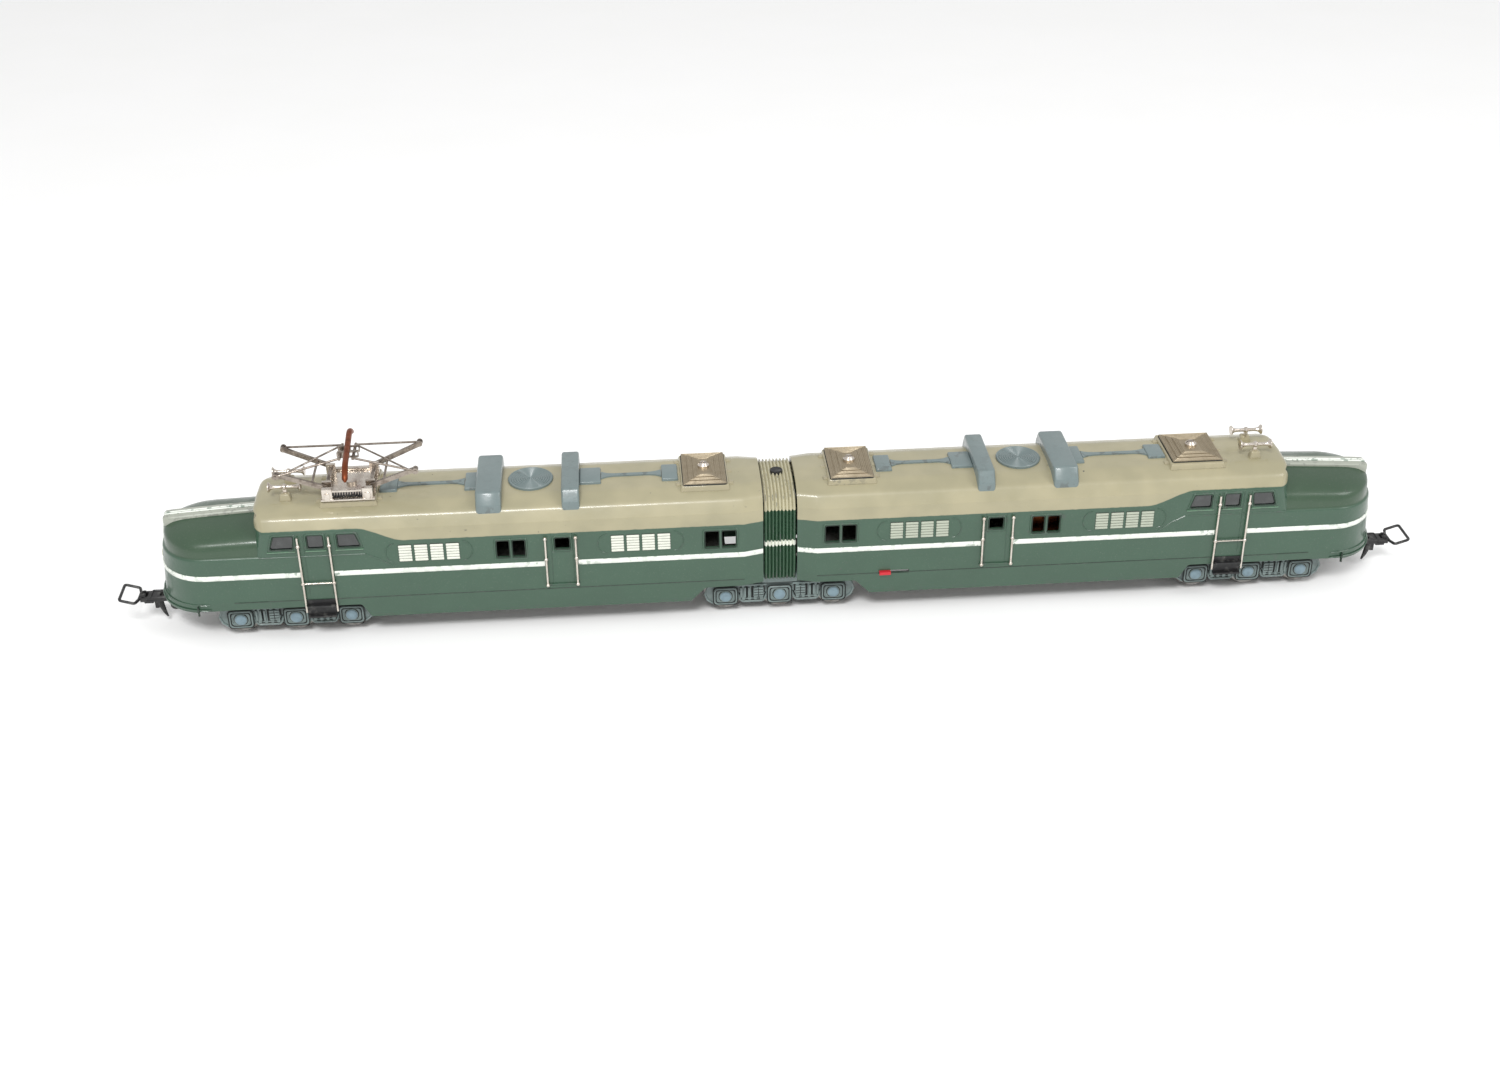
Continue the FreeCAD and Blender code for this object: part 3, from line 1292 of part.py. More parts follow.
panto_screw_head = rod("panto_screw_head", 1.7, "@panto_x", 0, "@plate_z + 1.0", 0.9)
panto_screw = fuse("panto_screw", [panto_shank, panto_screw_head])
node("car_a_roof_screws", group("screws_a", [slotted_screw("screw_a", "-24"), panto_screw]))


def coil_spring():
    """A close tension spring between the two posts on the near side."""
    posts = 6.6 - 1.3 - 0.3
    radius = 0.75
    turns = 12
    helix = Part.makeHelix(2 * posts / turns, 2 * posts, radius)
    end = Vector(panto_x - posts, -9.8, dim("plate_z") + 2.0)
    helix.Placement = Placement(end, Rotation(AXIS["z"], AXIS["x"]))
    start = helix.Edges[0].valueAt(helix.Edges[0].FirstParameter)
    tangent = helix.Edges[0].tangentAt(helix.Edges[0].FirstParameter)
    circle = Part.Wire(Part.makeCircle(0.2, start, tangent))
    return Part.Wire(helix.Edges).makePipeShell([circle], True, True)


node("panto_spring", shape_feature("panto_coil", coil_spring()))
node("panto_lower_left", shape_feature("lower_left", lower_arm(-1)))
node("panto_lower_right", shape_feature("lower_right", lower_arm(1)))
node("panto_upper_left", shape_feature("upper_left", upper_arm(-1)))
node("panto_upper_right", shape_feature("upper_right", upper_arm(1)))


def head_shape():
    """Two cheeks that carry the bow: a snug bore on the left rod, a slotted one on the right rod."""
    left_x = panto_x - head_reach
    right_x = panto_x + head_reach
    low = head_z - dim("head_half_height")
    high = head_z + dim("head_half_height")
    end_x = right_x + dim("head_end")
    cheeks = []
    for flank in (-1, 1):
        y = flank * 1.9
        outline = [(left_x - 1.1, low, 0.5), (end_x, low, 0.3), (end_x, high, 0.3), (left_x - 1.1, high, 0.5)]
        cheek = slab(outline, "xz", y - 0.4, y + 0.4)
        snug = Part.makeCylinder(0.5 + dim("running_gap"), 4, Vector(left_x, y - 2, head_z), AXIS["y"])
        slot = Part.makeBox(2.5, 4, 1.4, Vector(right_x - 1.3, y - 2, head_z - 0.7))
        cheeks.append(cheek.cut(snug).cut(slot))
    bridge = Part.makeBox(1.2, 4.6, 0.35, Vector(panto_x - 0.6, -2.3, high - 0.35))
    return cheeks[0].multiFuse([cheeks[1], bridge])


def bow_shape():
    """The copper contact strip: straight across the track, its ends drooping."""
    half = dim("panto_bow_half")
    low = head_z + dim("head_half_height")
    thick = 0.9
    drop = 3.4
    outline = [
        (half - 4.5, low, 3.0),
        (half - 0.9, low - drop, 0),
        (half, low - drop + 0.4, 0),
        (half - 4.0, low + thick, 3.6),
    ]
    mirror = [(-u, v, r) for u, v, r in reversed(outline)]
    return slab(outline + mirror, "yz", panto_x - 1.15, panto_x + 1.15)


node("panto_head", shape_feature("head", head_shape()))
node("panto_bow", shape_feature("bow", bow_shape()))


# ---------------------------------------------------------------- write

doc.recompute()
for obj in doc.Objects:
    if "Invalid" in obj.State or "Error" in obj.State:
        raise RuntimeError(f"{obj.Name} failed: {obj.State}")
for label, obj in nodes.items():
    if obj.Shape.isNull() or not obj.Shape.isValid():
        raise RuntimeError(f"{label} has no valid shape")

os.makedirs("parts", exist_ok=True)
for label, obj in nodes.items():
    obj.Shape.exportStep(f"parts/{label}.step")
print(len(nodes), "nodes written")
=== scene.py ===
import json
import math

import bmesh
import bpy
from mathutils import Matrix, Vector


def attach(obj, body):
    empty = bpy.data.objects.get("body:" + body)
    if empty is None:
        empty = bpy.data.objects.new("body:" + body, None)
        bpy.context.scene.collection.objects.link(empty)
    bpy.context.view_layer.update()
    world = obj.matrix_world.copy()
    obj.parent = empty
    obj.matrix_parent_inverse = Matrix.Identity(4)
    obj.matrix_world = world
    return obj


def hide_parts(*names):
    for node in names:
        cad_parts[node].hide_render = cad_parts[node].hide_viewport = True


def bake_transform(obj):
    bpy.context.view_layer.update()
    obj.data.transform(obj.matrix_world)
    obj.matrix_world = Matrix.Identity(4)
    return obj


# A twin-car H0 electric locomotive in enamelled zinc, on a plain white table.
# Sizes below are in millimetres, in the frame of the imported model; meshes are made in metres.

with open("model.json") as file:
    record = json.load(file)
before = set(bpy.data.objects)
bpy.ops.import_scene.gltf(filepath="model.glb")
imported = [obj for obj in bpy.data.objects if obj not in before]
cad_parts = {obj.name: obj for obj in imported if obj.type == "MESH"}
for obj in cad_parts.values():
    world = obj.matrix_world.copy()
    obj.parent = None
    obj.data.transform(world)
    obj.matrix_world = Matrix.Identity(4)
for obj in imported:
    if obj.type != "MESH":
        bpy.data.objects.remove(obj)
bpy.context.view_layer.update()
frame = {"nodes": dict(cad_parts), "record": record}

MM = 0.001
HALF = 17.0             # half the width of a car
CROWN = 48.2            # top of the roof
EAVES = 41.6            # where the side turns into the roof
SKIRT = 8.2             # lower edge of the sides
LEDGE = 32.8            # step in the side, below the cab windows and round the nose
ROOF_FRONT = 169.6
NOSE_CENTRE = 185.8     # the nose's flanks end here, and its curved front begins
NOSE_REACH = 17.5       # from there to the very front
NOSE_TAIL = 166.5       # the nose starts inside the car body
NOSE_SIDE = 0.05        # how far the stripe and ribs lie inside the full width
BODY_END = 5.6          # where each car starts, beside the bellows
END_HALF = 15.3         # half the width of a car there
CREASE = 12.0           # where the car reaches its full width
WALL = 1.2
STRIPE_Z = 26.0
LAMP_Z = 27.0
BOGIE_PITCH = 160.0
CARS = (("car_a", -1), ("car_b", 1))


# ---- meshes

class Piece:
    """Gathers closed shapes, in millimetres, and turns them into one object."""

    def __init__(self):
        self.bm = bmesh.new()

    def grid(self, rows, loop=False, caps=False):
        """Skins rows of points. loop closes each row, and caps fill the first and last rows."""
        rings = [[self.bm.verts.new(point) for point in row] for row in rows]
        count = len(rows[0])
        for first, second in zip(rings, rings[1:]):
            for i in range(count if loop else count - 1):
                j = (i + 1) % count
                self.bm.faces.new((first[i], first[j], second[j], second[i]))
        if caps:
            self.bm.faces.new(rings[0][::-1])
            self.bm.faces.new(rings[-1])
        return self

    def block(self, centre, size, bevel, taper=(1.0, 1.0), segments=2):
        """A box with rounded edges whose top may be smaller than its foot."""
        made = bmesh.ops.create_cube(self.bm, size=1.0)["verts"]
        for vert in made:
            across, deep = taper if vert.co.z > 0 else (1.0, 1.0)
            local = Vector((vert.co.x * size[0] * across, vert.co.y * size[1] * deep, vert.co.z * size[2]))
            vert.co = local + Vector(centre)
        edges = list(dict.fromkeys(edge for vert in made for edge in vert.link_edges))
        bmesh.ops.bevel(self.bm, geom=edges, offset=bevel, segments=segments, profile=0.5, affect="EDGES")
        return self

    def tube(self, points, radius, sides=8, closed=False):
        """A round wire through points; radius may be a list with one value for each point."""
        path = [Vector(point) for point in points]
        radii = radius if isinstance(radius, list) else [radius] * len(path)
        count = len(path)
        rows = []
        guide = None
        for i, here in enumerate(path):
            ahead = path[(i + 1) % count] if closed or i + 1 < count else here
            back = path[i - 1] if closed or i > 0 else here
            along = (ahead - back).normalized()
            if guide is None:
                guide = along.orthogonal().normalized()
            guide = (guide - along * guide.dot(along)).normalized()
            across = along.cross(guide)
            ring = []
            for k in range(sides):
                angle = 2 * math.pi * k / sides
                ring.append(here + (guide * math.cos(angle) + across * math.sin(angle)) * radii[i])
            rows.append(ring)
        if closed:
            rows.append(rows[0])
        self.grid(rows, loop=True, caps=not closed)
        if closed:
            bmesh.ops.remove_doubles(self.bm, verts=self.bm.verts, dist=1e-5)
        return self

    def lathe(self, profile, centre, axis="z", sides=32):
        """Turns (radius, height) pairs round an axis through the centre."""
        frames = {
            "z": (Vector((1, 0, 0)), Vector((0, 1, 0)), Vector((0, 0, 1))),
            "x": (Vector((0, 1, 0)), Vector((0, 0, 1)), Vector((1, 0, 0))),
            "y": (Vector((0, 0, 1)), Vector((1, 0, 0)), Vector((0, 1, 0))),
        }
        one, two, along = frames[axis]
        rows = []
        for radius, height in profile:
            ring = []
            for k in range(sides):
                angle = 2 * math.pi * k / sides
                spoke = one * math.cos(angle) + two * math.sin(angle)
                ring.append(Vector(centre) + spoke * max(radius, 0.01) + along * height)
            rows.append(ring)
        return self.grid(rows, loop=True, caps=True)

    def prism(self, outline, start, end):
        """Extrudes an outline of (x, z) points along Y."""
        rows = [[(x, y, z) for x, z in outline] for y in (start, end)]
        return self.grid(rows, loop=True, caps=True)

    def bar(self, outline, start, end):
        """Extrudes an outline of (y, z) points along X."""
        rows = [[(x, y, z) for y, z in outline] for x in (start, end)]
        return self.grid(rows, loop=True, caps=True)

    def make(self, name, finish, body, sign=1, smooth=32.0):
        """Writes the mesh, mirrored along the track for car A, and lets it ride on a body."""
        if sign < 0:
            for vert in self.bm.verts:
                vert.co.x = -vert.co.x
        for vert in self.bm.verts:
            vert.co *= MM
        bmesh.ops.recalc_face_normals(self.bm, faces=self.bm.faces)
        mesh = bpy.data.meshes.new(name)
        self.bm.to_mesh(mesh)
        self.bm.free()
        return dress(mesh, name, finish, body, smooth)


def dress(mesh, name, finish, body, smooth=32.0):
    """Links a mesh as a piece with a finish and smooth faces up to an angle."""
    obj = bpy.data.objects.new(name, mesh)
    bpy.context.scene.collection.objects.link(obj)
    mesh.polygons.foreach_set("use_smooth", [True] * len(mesh.polygons))
    mesh.set_sharp_from_angle(angle=math.radians(smooth))
    mesh.materials.clear()
    mesh.materials.append(finish)
    if body:
        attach(obj, body)
    return obj


def rounded(corners, pieces=6):
    """An open outline through (u, v, radius) corners, with an arc at each radius above 0."""
    points = []
    for index, (u, v, radius) in enumerate(corners):
        here = Vector((u, v))
        if radius <= 0 or index in (0, len(corners) - 1):
            points.append(here)
            continue
        back = (Vector(corners[index - 1][:2]) - here).normalized()
        ahead = (Vector(corners[index + 1][:2]) - here).normalized()
        half = back.angle(ahead) / 2
        reach = radius / math.tan(half)
        centre = here + (back + ahead).normalized() * radius / math.sin(half)
        start = (here + back * reach - centre).normalized()
        end = (here + ahead * reach - centre).normalized()
        for step in range(pieces + 1):
            points.append(centre + start.slerp(end, step / pieces) * radius)
    return points


def closed_outline(corners, pieces=4):
    """A closed outline whose every corner may be rounded."""
    wrapped = [corners[-1]] + corners + [corners[0]]
    points = rounded(wrapped, pieces)
    return points[1:-1]


def subdivided(points, step):
    """The same outline with long straight runs divided."""
    dense = [points[0]]
    for start, end in zip(points, points[1:]):
        parts = max(1, math.ceil((end - start).length / step))
        for k in range(1, parts + 1):
            dense.append(start.lerp(end, k / parts))
    return dense


def spans(start, end, step):
    """Evenly spaced values from start to end."""
    parts = max(1, math.ceil(abs(end - start) / step))
    return [start + (end - start) * k / parts for k in range(parts + 1)]


# ---- finishes

def tint(red, green, blue):
    """A display colour, 0 to 255, as the linear colour that shaders take."""
    values = []
    for value in (red, green, blue):
        share = value / 255
        values.append(share / 12.92 if share <= 0.04045 else ((share + 0.055) / 1.055) ** 2.4)
    return (*values, 1.0)


def darker(colour):
    """The shade that a colour drifts to in patches."""
    return tint(*[0.72 * value for value in colour])


class Finish:
    """A principled material whose detail is set in millimetres of the object's own space."""

    def __init__(self, name, metallic=0.0, coat=0.0, coat_roughness=0.1):
        self.material = bpy.data.materials.new(name)
        self.material.use_nodes = True
        self.tree = self.material.node_tree
        self.shader = self.tree.nodes["Principled BSDF"]
        self.shader.inputs["Metallic"].default_value = metallic
        self.shader.inputs["Coat Weight"].default_value = coat
        self.shader.inputs["Coat Roughness"].default_value = coat_roughness
        coordinates = self.tree.nodes.new("ShaderNodeTexCoord")
        self.position = coordinates.outputs["Object"]

    def link(self, value, socket):
        """Feeds a socket from another node, or gives it a constant."""
        if isinstance(value, bpy.types.NodeSocket):
            self.tree.links.new(value, socket)
        else:
            socket.default_value = value

    def noise(self, size, detail=3.0, roughness=0.55, squeeze=(1, 1, 1)):
        """Noise with features about size millimetres across."""
        mapping = self.tree.nodes.new("ShaderNodeMapping")
        mapping.inputs["Scale"].default_value = [axis / (size * MM) for axis in squeeze]
        self.link(self.position, mapping.inputs["Vector"])
        node = self.tree.nodes.new("ShaderNodeTexNoise")
        node.inputs["Scale"].default_value = 1.0
        node.inputs["Detail"].default_value = detail
        node.inputs["Roughness"].default_value = roughness
        self.link(mapping.outputs["Vector"], node.inputs["Vector"])
        return node.outputs["Fac"]

    def spread(self, value, low, high, start=0.0, end=1.0):
        """Maps low..high smoothly to start..end and clamps outside."""
        node = self.tree.nodes.new("ShaderNodeMapRange")
        node.interpolation_type = "SMOOTHSTEP"
        self.link(value, node.inputs["Value"])
        for name, number in (("From Min", low), ("From Max", high), ("To Min", start), ("To Max", end)):
            self.link(number, node.inputs[name])
        return node.outputs["Result"]

    def maths(self, kind, one, two=0.0):
        """One step of arithmetic on one or two values."""
        node = self.tree.nodes.new("ShaderNodeMath")
        node.operation = kind
        self.link(one, node.inputs[0])
        self.link(two, node.inputs[1])
        return node.outputs[0]

    def blend(self, share, first, second):
        """Mixes two colours."""
        node = self.tree.nodes.new("ShaderNodeMix")
        node.data_type = "RGBA"
        self.link(share, node.inputs[0])
        self.link(first, node.inputs[6])
        self.link(second, node.inputs[7])
        return node.outputs[2]

    def axes(self):
        """X, Y and Z of the point, in metres."""
        node = self.tree.nodes.new("ShaderNodeSeparateXYZ")
        self.link(self.position, node.inputs[0])
        return node.outputs

    def sharpness(self, low, high, start=0.0, end=1.0):
        """Tells edges from hollows: 0.5 is flat, more is an edge and less is a hollow."""
        node = self.tree.nodes.new("ShaderNodeNewGeometry")
        return self.spread(node.outputs["Pointiness"], low, high, start, end)

    def bump(self, height, depth, strength=1.0):
        """Bumps of a depth in millimetres."""
        node = self.tree.nodes.new("ShaderNodeBump")
        node.inputs["Distance"].default_value = depth * MM
        node.inputs["Strength"].default_value = strength
        self.link(height, node.inputs["Height"])
        self.link(node.outputs["Normal"], self.shader.inputs["Normal"])

    def finish(self, colour, roughness):
        """Sets what every finish has, and gives the material."""
        self.link(colour, self.shader.inputs["Base Color"])
        self.link(roughness, self.shader.inputs["Roughness"])
        return self.material


def enamel(name, colour, gloss=0.3, chips=0.5, second=None, chip_colour=(74, 76, 74)):
    """Brushed-on model enamel: slight colour drift, dust, orange peel, and chips down to the zinc."""
    paint = Finish(name, coat=0.35, coat_roughness=0.12)
    base = tint(*colour)
    if second is not None:
        base = second(paint, base)
    drift = paint.spread(paint.noise(14.0, 2.0), 0.3, 0.7)
    shade = paint.blend(paint.maths("MULTIPLY", drift, 0.16), base, darker(colour))
    dust = paint.spread(paint.noise(0.35, 4.0), 0.6, 0.78)
    shade = paint.blend(paint.maths("MULTIPLY", dust, 0.14), shade, tint(190, 192, 178))
    spots = paint.spread(paint.noise(1.5, 4.0, 0.6), 0.715 - 0.03 * chips, 0.73 - 0.03 * chips)
    patches = paint.spread(paint.noise(23.0, 1.0), 0.5, 0.62)
    fingered = paint.spread(paint.noise(2.4, 3.0), 0.53, 0.6)
    rubbed = paint.maths("MULTIPLY", paint.sharpness(0.53, 0.6), fingered)
    flaked = paint.maths("MULTIPLY", spots, patches)
    chipped = paint.maths("MAXIMUM", flaked, paint.maths("MULTIPLY", rubbed, 0.8 * chips))
    shade = paint.blend(chipped, shade, tint(*chip_colour))
    rough = paint.spread(paint.noise(5.0, 3.0), 0.3, 0.75, gloss, gloss + 0.16)
    rough = paint.maths("ADD", rough, paint.maths("MULTIPLY", chipped, 0.3))
    peel = paint.maths("ADD", paint.noise(1.7, 2.0), paint.maths("MULTIPLY", paint.noise(0.3, 2.0), 0.35))
    peel = paint.maths("SUBTRACT", peel, paint.maths("MULTIPLY", chipped, 0.9))
    paint.bump(peel, 0.05, 0.75)
    return paint.finish(shade, rough)


ROOF_BEIGE = tint(160, 153, 124)
GREEN = (52, 81, 63)
HOOD_GREEN = (48, 72, 51)


def roof_band(paint, green):
    """The beige of the roof comes down the side to a line that climbs over the cab windows."""
    axes = paint.axes()
    along = paint.maths("ABSOLUTE", axes["X"])
    wobble = paint.maths("MULTIPLY", paint.maths("SUBTRACT", paint.noise(2.2, 3.0), 0.5), 0.35 * MM)
    line = paint.spread(along, 121.0 * MM, 136.5 * MM, 37.2 * MM, 42.1 * MM)
    height = paint.maths("SUBTRACT", paint.maths("ADD", axes["Z"], wobble), line)
    edge = paint.spread(height, -0.08 * MM, 0.08 * MM)
    seam = paint.spread(paint.maths("ABSOLUTE", height), 0.0, 0.28 * MM, 1.0, 0.0)
    colour = paint.blend(edge, green, ROOF_BEIGE)
    return paint.blend(paint.maths("MULTIPLY", seam, 0.35), colour, tint(66, 84, 70))


def hood_shade(paint, green):
    """The hood above the ledge is a slightly yellower green than the sides."""
    axes = paint.axes()
    above = paint.spread(axes["Z"], (LEDGE - 0.2) * MM, (LEDGE + 0.6) * MM)
    return paint.blend(above, green, tint(*HOOD_GREEN))


def metal(name, colour, stain, roughness=0.25, grain=0.6, cover=0.5):
    """Bare or plated metal with stains in patches and fine scratches."""
    plate = Finish(name, metallic=1.0)
    patches = plate.spread(plate.noise(2.6, 4.0), 0.42, 0.66, 0.0, cover)
    shade = plate.blend(patches, tint(*colour), tint(*stain))
    fine = plate.noise(grain, 3.0, 0.6, (1, 1, 4))
    rough = plate.spread(fine, 0.3, 0.75, roughness, roughness + 0.2)
    rough = plate.maths("ADD", rough, plate.maths("MULTIPLY", patches, 0.25))
    plate.bump(fine, 0.03, 0.6)
    return plate.finish(shade, rough)


def moulding(name, colour, gloss=0.4, dust=0.25, dust_colour=(150, 150, 144)):
    """Plastic or painted steel with dust in patches."""
    surface = Finish(name)
    veil = surface.spread(surface.noise(2.0, 4.0), 0.5, 0.75, 0.0, dust)
    shade = surface.blend(veil, tint(*colour), tint(*dust_colour))
    rough = surface.spread(surface.noise(1.2, 3.0), 0.3, 0.7, gloss, gloss + 0.2)
    surface.bump(surface.noise(0.45, 3.0), 0.03, 0.6)
    return surface.finish(shade, rough)


def glass(name, colour, roughness=0.08):
    """Dark glazing with smears."""
    pane = Finish(name, coat=1.0, coat_roughness=0.03)
    smear = pane.spread(pane.noise(3.4, 2.0), 0.45, 0.9)
    shade = pane.blend(smear, tint(*colour), tint(*[min(255, value + 36) for value in colour]))
    pane.bump(pane.noise(3.0, 1.0), 0.02, 0.4)
    return pane.finish(shade, pane.spread(smear, 0.0, 1.0, roughness, roughness + 0.2))


def cast_grey(name, colour, deep, grime):
    """Blue-grey paint on a casting, darkened in its hollows as painted shade."""
    paint = Finish(name, coat=0.15, coat_roughness=0.2)
    # Painted shade: concave places are blended towards the deep colour, by the given amount.
    hollow_shade = paint.sharpness(0.46, 0.5, grime, 0.0)
    patch = paint.spread(paint.noise(2.2, 4.0), 0.4, 0.7, 0.0, 0.4)
    shade = paint.blend(patch, tint(*colour), darker(colour))
    shade = paint.blend(hollow_shade, shade, tint(*deep))
    rough = paint.spread(paint.noise(1.0, 3.0), 0.3, 0.7, 0.34, 0.55)
    paint.bump(paint.noise(0.7, 3.0), 0.05, 0.8)
    return paint.finish(shade, rough)


FINISHES = {
    "green_body": enamel("green_enamel", GREEN),
    "two_tone": enamel("green_and_beige_enamel", GREEN, second=roof_band),
    "hood": enamel("hood_enamel", GREEN, second=hood_shade),
    "beige": enamel("beige_enamel", (158, 150, 122)),
    "duct_grey": enamel("duct_enamel", (108, 122, 122), gloss=0.28, chips=0.6),
    "white_line": enamel("white_line_enamel", (226, 230, 222), 0.35, 0.9, chip_colour=(90, 116, 98)),
    "ridge": enamel("ridge_enamel", (158, 162, 150), gloss=0.3, chips=0.5),
    "bellows_green": enamel("bellows_enamel", (50, 82, 58), gloss=0.4, chips=1.5),
    # The bogie castings and their caps are darkened in their hollows as painted shade.
    "bogie_blue_grey": cast_grey("bogie_enamel", (112, 126, 124), (40, 46, 45), 0.6),
    "cap_grey": cast_grey("cap_enamel", (116, 138, 148), (60, 70, 76), 0.5),
    "nickel": metal("nickel_plate", (214, 206, 196), (150, 132, 116), 0.16, cover=0.3),
    "dark_nickel": metal("patinated_nickel", (160, 150, 140), (84, 72, 64), 0.2, cover=0.6),
    "plain_steel": metal("wheel_steel", (150, 148, 144), (80, 74, 68), 0.3),
    "copper": metal("copper_strip", (150, 84, 54), (88, 50, 36), 0.42),
    "brass": metal("gear_brass", (196, 164, 96), (120, 92, 50), 0.3),
    "silver": moulding("louvre_silver", (212, 214, 202), 0.22, 0.2, (170, 174, 162)),
    "pale_grey": moulding("louvre_grey", (168, 174, 158), 0.3, 0.3, (140, 148, 136)),
    "plate_metal": metal("roof_plate_metal", (176, 164, 142), (140, 128, 106), 0.42, cover=0.2),
    "black_metal": moulding("black_metal", (26, 26, 27), 0.32),
    "black_plastic": moulding("black_plastic", (30, 30, 31), 0.4),
    "smoked_glazing": glass("smoked_glazing", (24, 28, 28)),
    "lamp_lens": glass("lamp_lens", (214, 210, 190), 0.12),
    "red_lever": moulding("red_lever", (190, 28, 42), 0.3, 0.1),
    "relay_coil": metal("coil_wire", (150, 84, 48), (96, 50, 30), 0.35),
    # Dark green for painted shade round the windows, in the waist crease and on the nose's flank.
    "painted_shade_line": moulding("painted_shade_line", (34, 50, 40), 0.45, 0.1),
    # A dark sheet for painted shadow behind the louvre slats.
    "louvre_painted_shadow": moulding("louvre_shadow", (58, 64, 56), 0.5, 0.15),
    # Near-black for painted shade in the bogies' grooves and at the roof plates' feet.
    "grime": moulding("grime", (24, 28, 27), 0.6, 0.1),
    # A lighter green for painted highlight along the cab window sills.
    "sill_highlight": enamel("sill_highlight_enamel", (96, 128, 104), gloss=0.2, chips=0.4),
    "strip_copper": metal("bow_copper", (138, 76, 50), (84, 48, 34), 0.34, cover=0.4),
}


# ---- car bodies

def side_reach(x):
    """Half the width of a car at a distance from the middle of the locomotive."""
    if x >= CREASE:
        return HALF
    return END_HALF + (HALF - END_HALF) * (x - BODY_END) / (CREASE - BODY_END)


def section(inset=0.0):
    """The outline of a car across the track, from one skirt over the roof to the other."""
    foot = SKIRT - (4.0 if inset else 0.0)
    half = [
        (15.9 - inset, foot, 0),
        (HALF - inset, 16.5, 0.5),
        (HALF - inset, EAVES, 0.9),
        (14.7 - inset, 45.7 - inset, 3.0),
        (9.0 - inset, 47.8 - inset, 9.0),
        (0.0, CROWN - inset, 0),
    ]
    near = subdivided(rounded(half), 3.0)
    return near + [Vector((-point.x, point.y)) for point in reversed(near[:-1])]


def body_rows(inset=0.0):
    """Rows of the car's volume from the bellows to the front of the roof."""
    base = section(inset)
    start = BODY_END - (2.0 if inset else 0.0)
    front = ROOF_FRONT - inset
    lip = 2.6
    stations = [(x, 0.0) for x in [start, BODY_END + 0.01, 8.0, 10.0, CREASE - 0.15, CREASE + 0.15]]
    stations += [(x, 0.0) for x in spans(15.0, front - lip, 4.0)]
    for k in range(1, 7):
        angle = math.pi / 2 * k / 6
        stations.append((front - lip + lip * math.sin(angle), lip * (1 - math.cos(angle))))
    rows = []
    for x, shrink in stations:
        rows.append(front_shaped(x, shrink, base, front, side_reach(max(x, BODY_END)) - inset))
    last = rows[-1]
    for share in (0.8, 0.6, 0.4, 0.2):
        rows.append([(x, y * share, 30 + (z - 30) * share) for x, y, z in last])
    return rows


def front_shaped(x, shrink, base, front, reach):
    """One row: the outline scaled to the car's plan, then pulled back at its corners."""
    widest = max(point.x for point in base)
    row = []
    for point in base:
        y = point.x * reach / widest * (1 - shrink / HALF)
        z = point.y - (shrink * 0.9 if point.y > EAVES - 2 else 0.0)
        weight = min(1.0, max(0.0, (x - front + 9.0) / 9.0))
        corner = max(0.0, (abs(y) - 7.0) / 10.0) ** 2
        rake = min(1.0, max(0.0, (40.5 - z) / 8.0))
        row.append((x - weight * (2.5 * corner - 2.6 * corner * rake), y, z))
    return row


NOSE_LEVELS = [
    # height, setback of the front, setback of the sides
    (8.2, 0.2, 1.1),
    (11.0, -0.5, 0.8),
    (13.2, -0.6, 0.45),
    (15.2, -0.1, 0.15),
    (16.6, 0.4, 0.05),
    (20.0, 0.8, 0.05),
    (28.0, 1.5, 0.05),
    (31.6, 1.8, 0.05),
    (32.5, 2.0, 0.1),
    (32.9, 2.4, 0.35),
    (33.4, 2.7, 0.6),
    (35.2, 2.8, 0.9),
    (37.6, 2.9, 1.7),
    (39.2, 3.4, 3.8),
    (40.6, 4.9, 7.0),
    (41.6, 6.4, 10.8),
    (42.1, 8.8, 14.0),
    (42.3, 11.5, 16.6),
]
HOOD_SLOPE = 0.06


def hood_drop(x, z):
    """How far the hood's upper surface falls towards the front."""
    return HOOD_SLOPE * max(0.0, x - 171.0) * min(1.0, max(0.0, (z - 35.0) / 6.5))


def catmull(keys, parts):
    """A smooth path through all keys."""
    path = []
    count = len(keys)
    for i in range(count - 1):
        before = keys[max(i - 1, 0)]
        after = keys[min(i + 2, count - 1)]
        for k in range(parts):
            share = k / parts
            values = []
            for a, b, c, d in zip(before, keys[i], keys[i + 1], after):
                bend = -a + 3 * b - 3 * c + d
                dip = 2 * a - 5 * b + 4 * c - d
                values.append(0.5 * (2 * b + (c - a) * share + dip * share ** 2 + bend * share ** 3))
            path.append(tuple(values))
    path.append(tuple(keys[-1]))
    return path


def nose_plan(front, side, tail, steps=28):
    """The nose seen from above: straight flanks, then half an ellipse round the front."""
    reach = NOSE_REACH - front
    half = max(HALF - side, 0.15)
    points = [(x, -half) for x in spans(tail, NOSE_CENTRE, 3.0)]
    for k in range(1, steps):
        angle = -math.pi / 2 + math.pi * k / steps
        points.append((NOSE_CENTRE + reach * math.cos(angle), half * math.sin(angle)))
    points += [(x, half) for x in spans(NOSE_CENTRE, tail, 3.0)]
    return points


def nose_rows(inset=0.0):
    """Rows of the nose's volume from its foot up to the top of the hood."""
    rows = []
    for z, front, side in catmull(NOSE_LEVELS, 3):
        lower = z - inset if z > SKIRT + 0.01 else z - (4.0 if inset else 0.0)
        plan = nose_plan(front + inset, side + inset, NOSE_TAIL - 3 * inset)
        rows.append([(x, y, lower - hood_drop(x, lower)) for x, y in plan])
    return rows


def skinned(rows):
    """A closed solid through rows that are loops."""
    return Piece().grid(rows, loop=True, caps=True)


def carved(name, rows, cutters):
    """A solid skinned over rows, minus each cutter in turn."""
    target = raw_object(name, skinned(rows))
    tools = [raw_object(f"{name}_tool{i}", tool) for i, tool in enumerate(cutters)]
    for tool in tools:
        step = target.modifiers.new(tool.name, "BOOLEAN")
        step.operation = "DIFFERENCE"
        step.solver = "EXACT"
        step.object = tool
    bpy.context.view_layer.update()
    depsgraph = bpy.context.evaluated_depsgraph_get()
    mesh = bpy.data.meshes.new_from_object(target.evaluated_get(depsgraph))
    for obj in [target] + tools:
        bpy.data.objects.remove(obj)
    return mesh


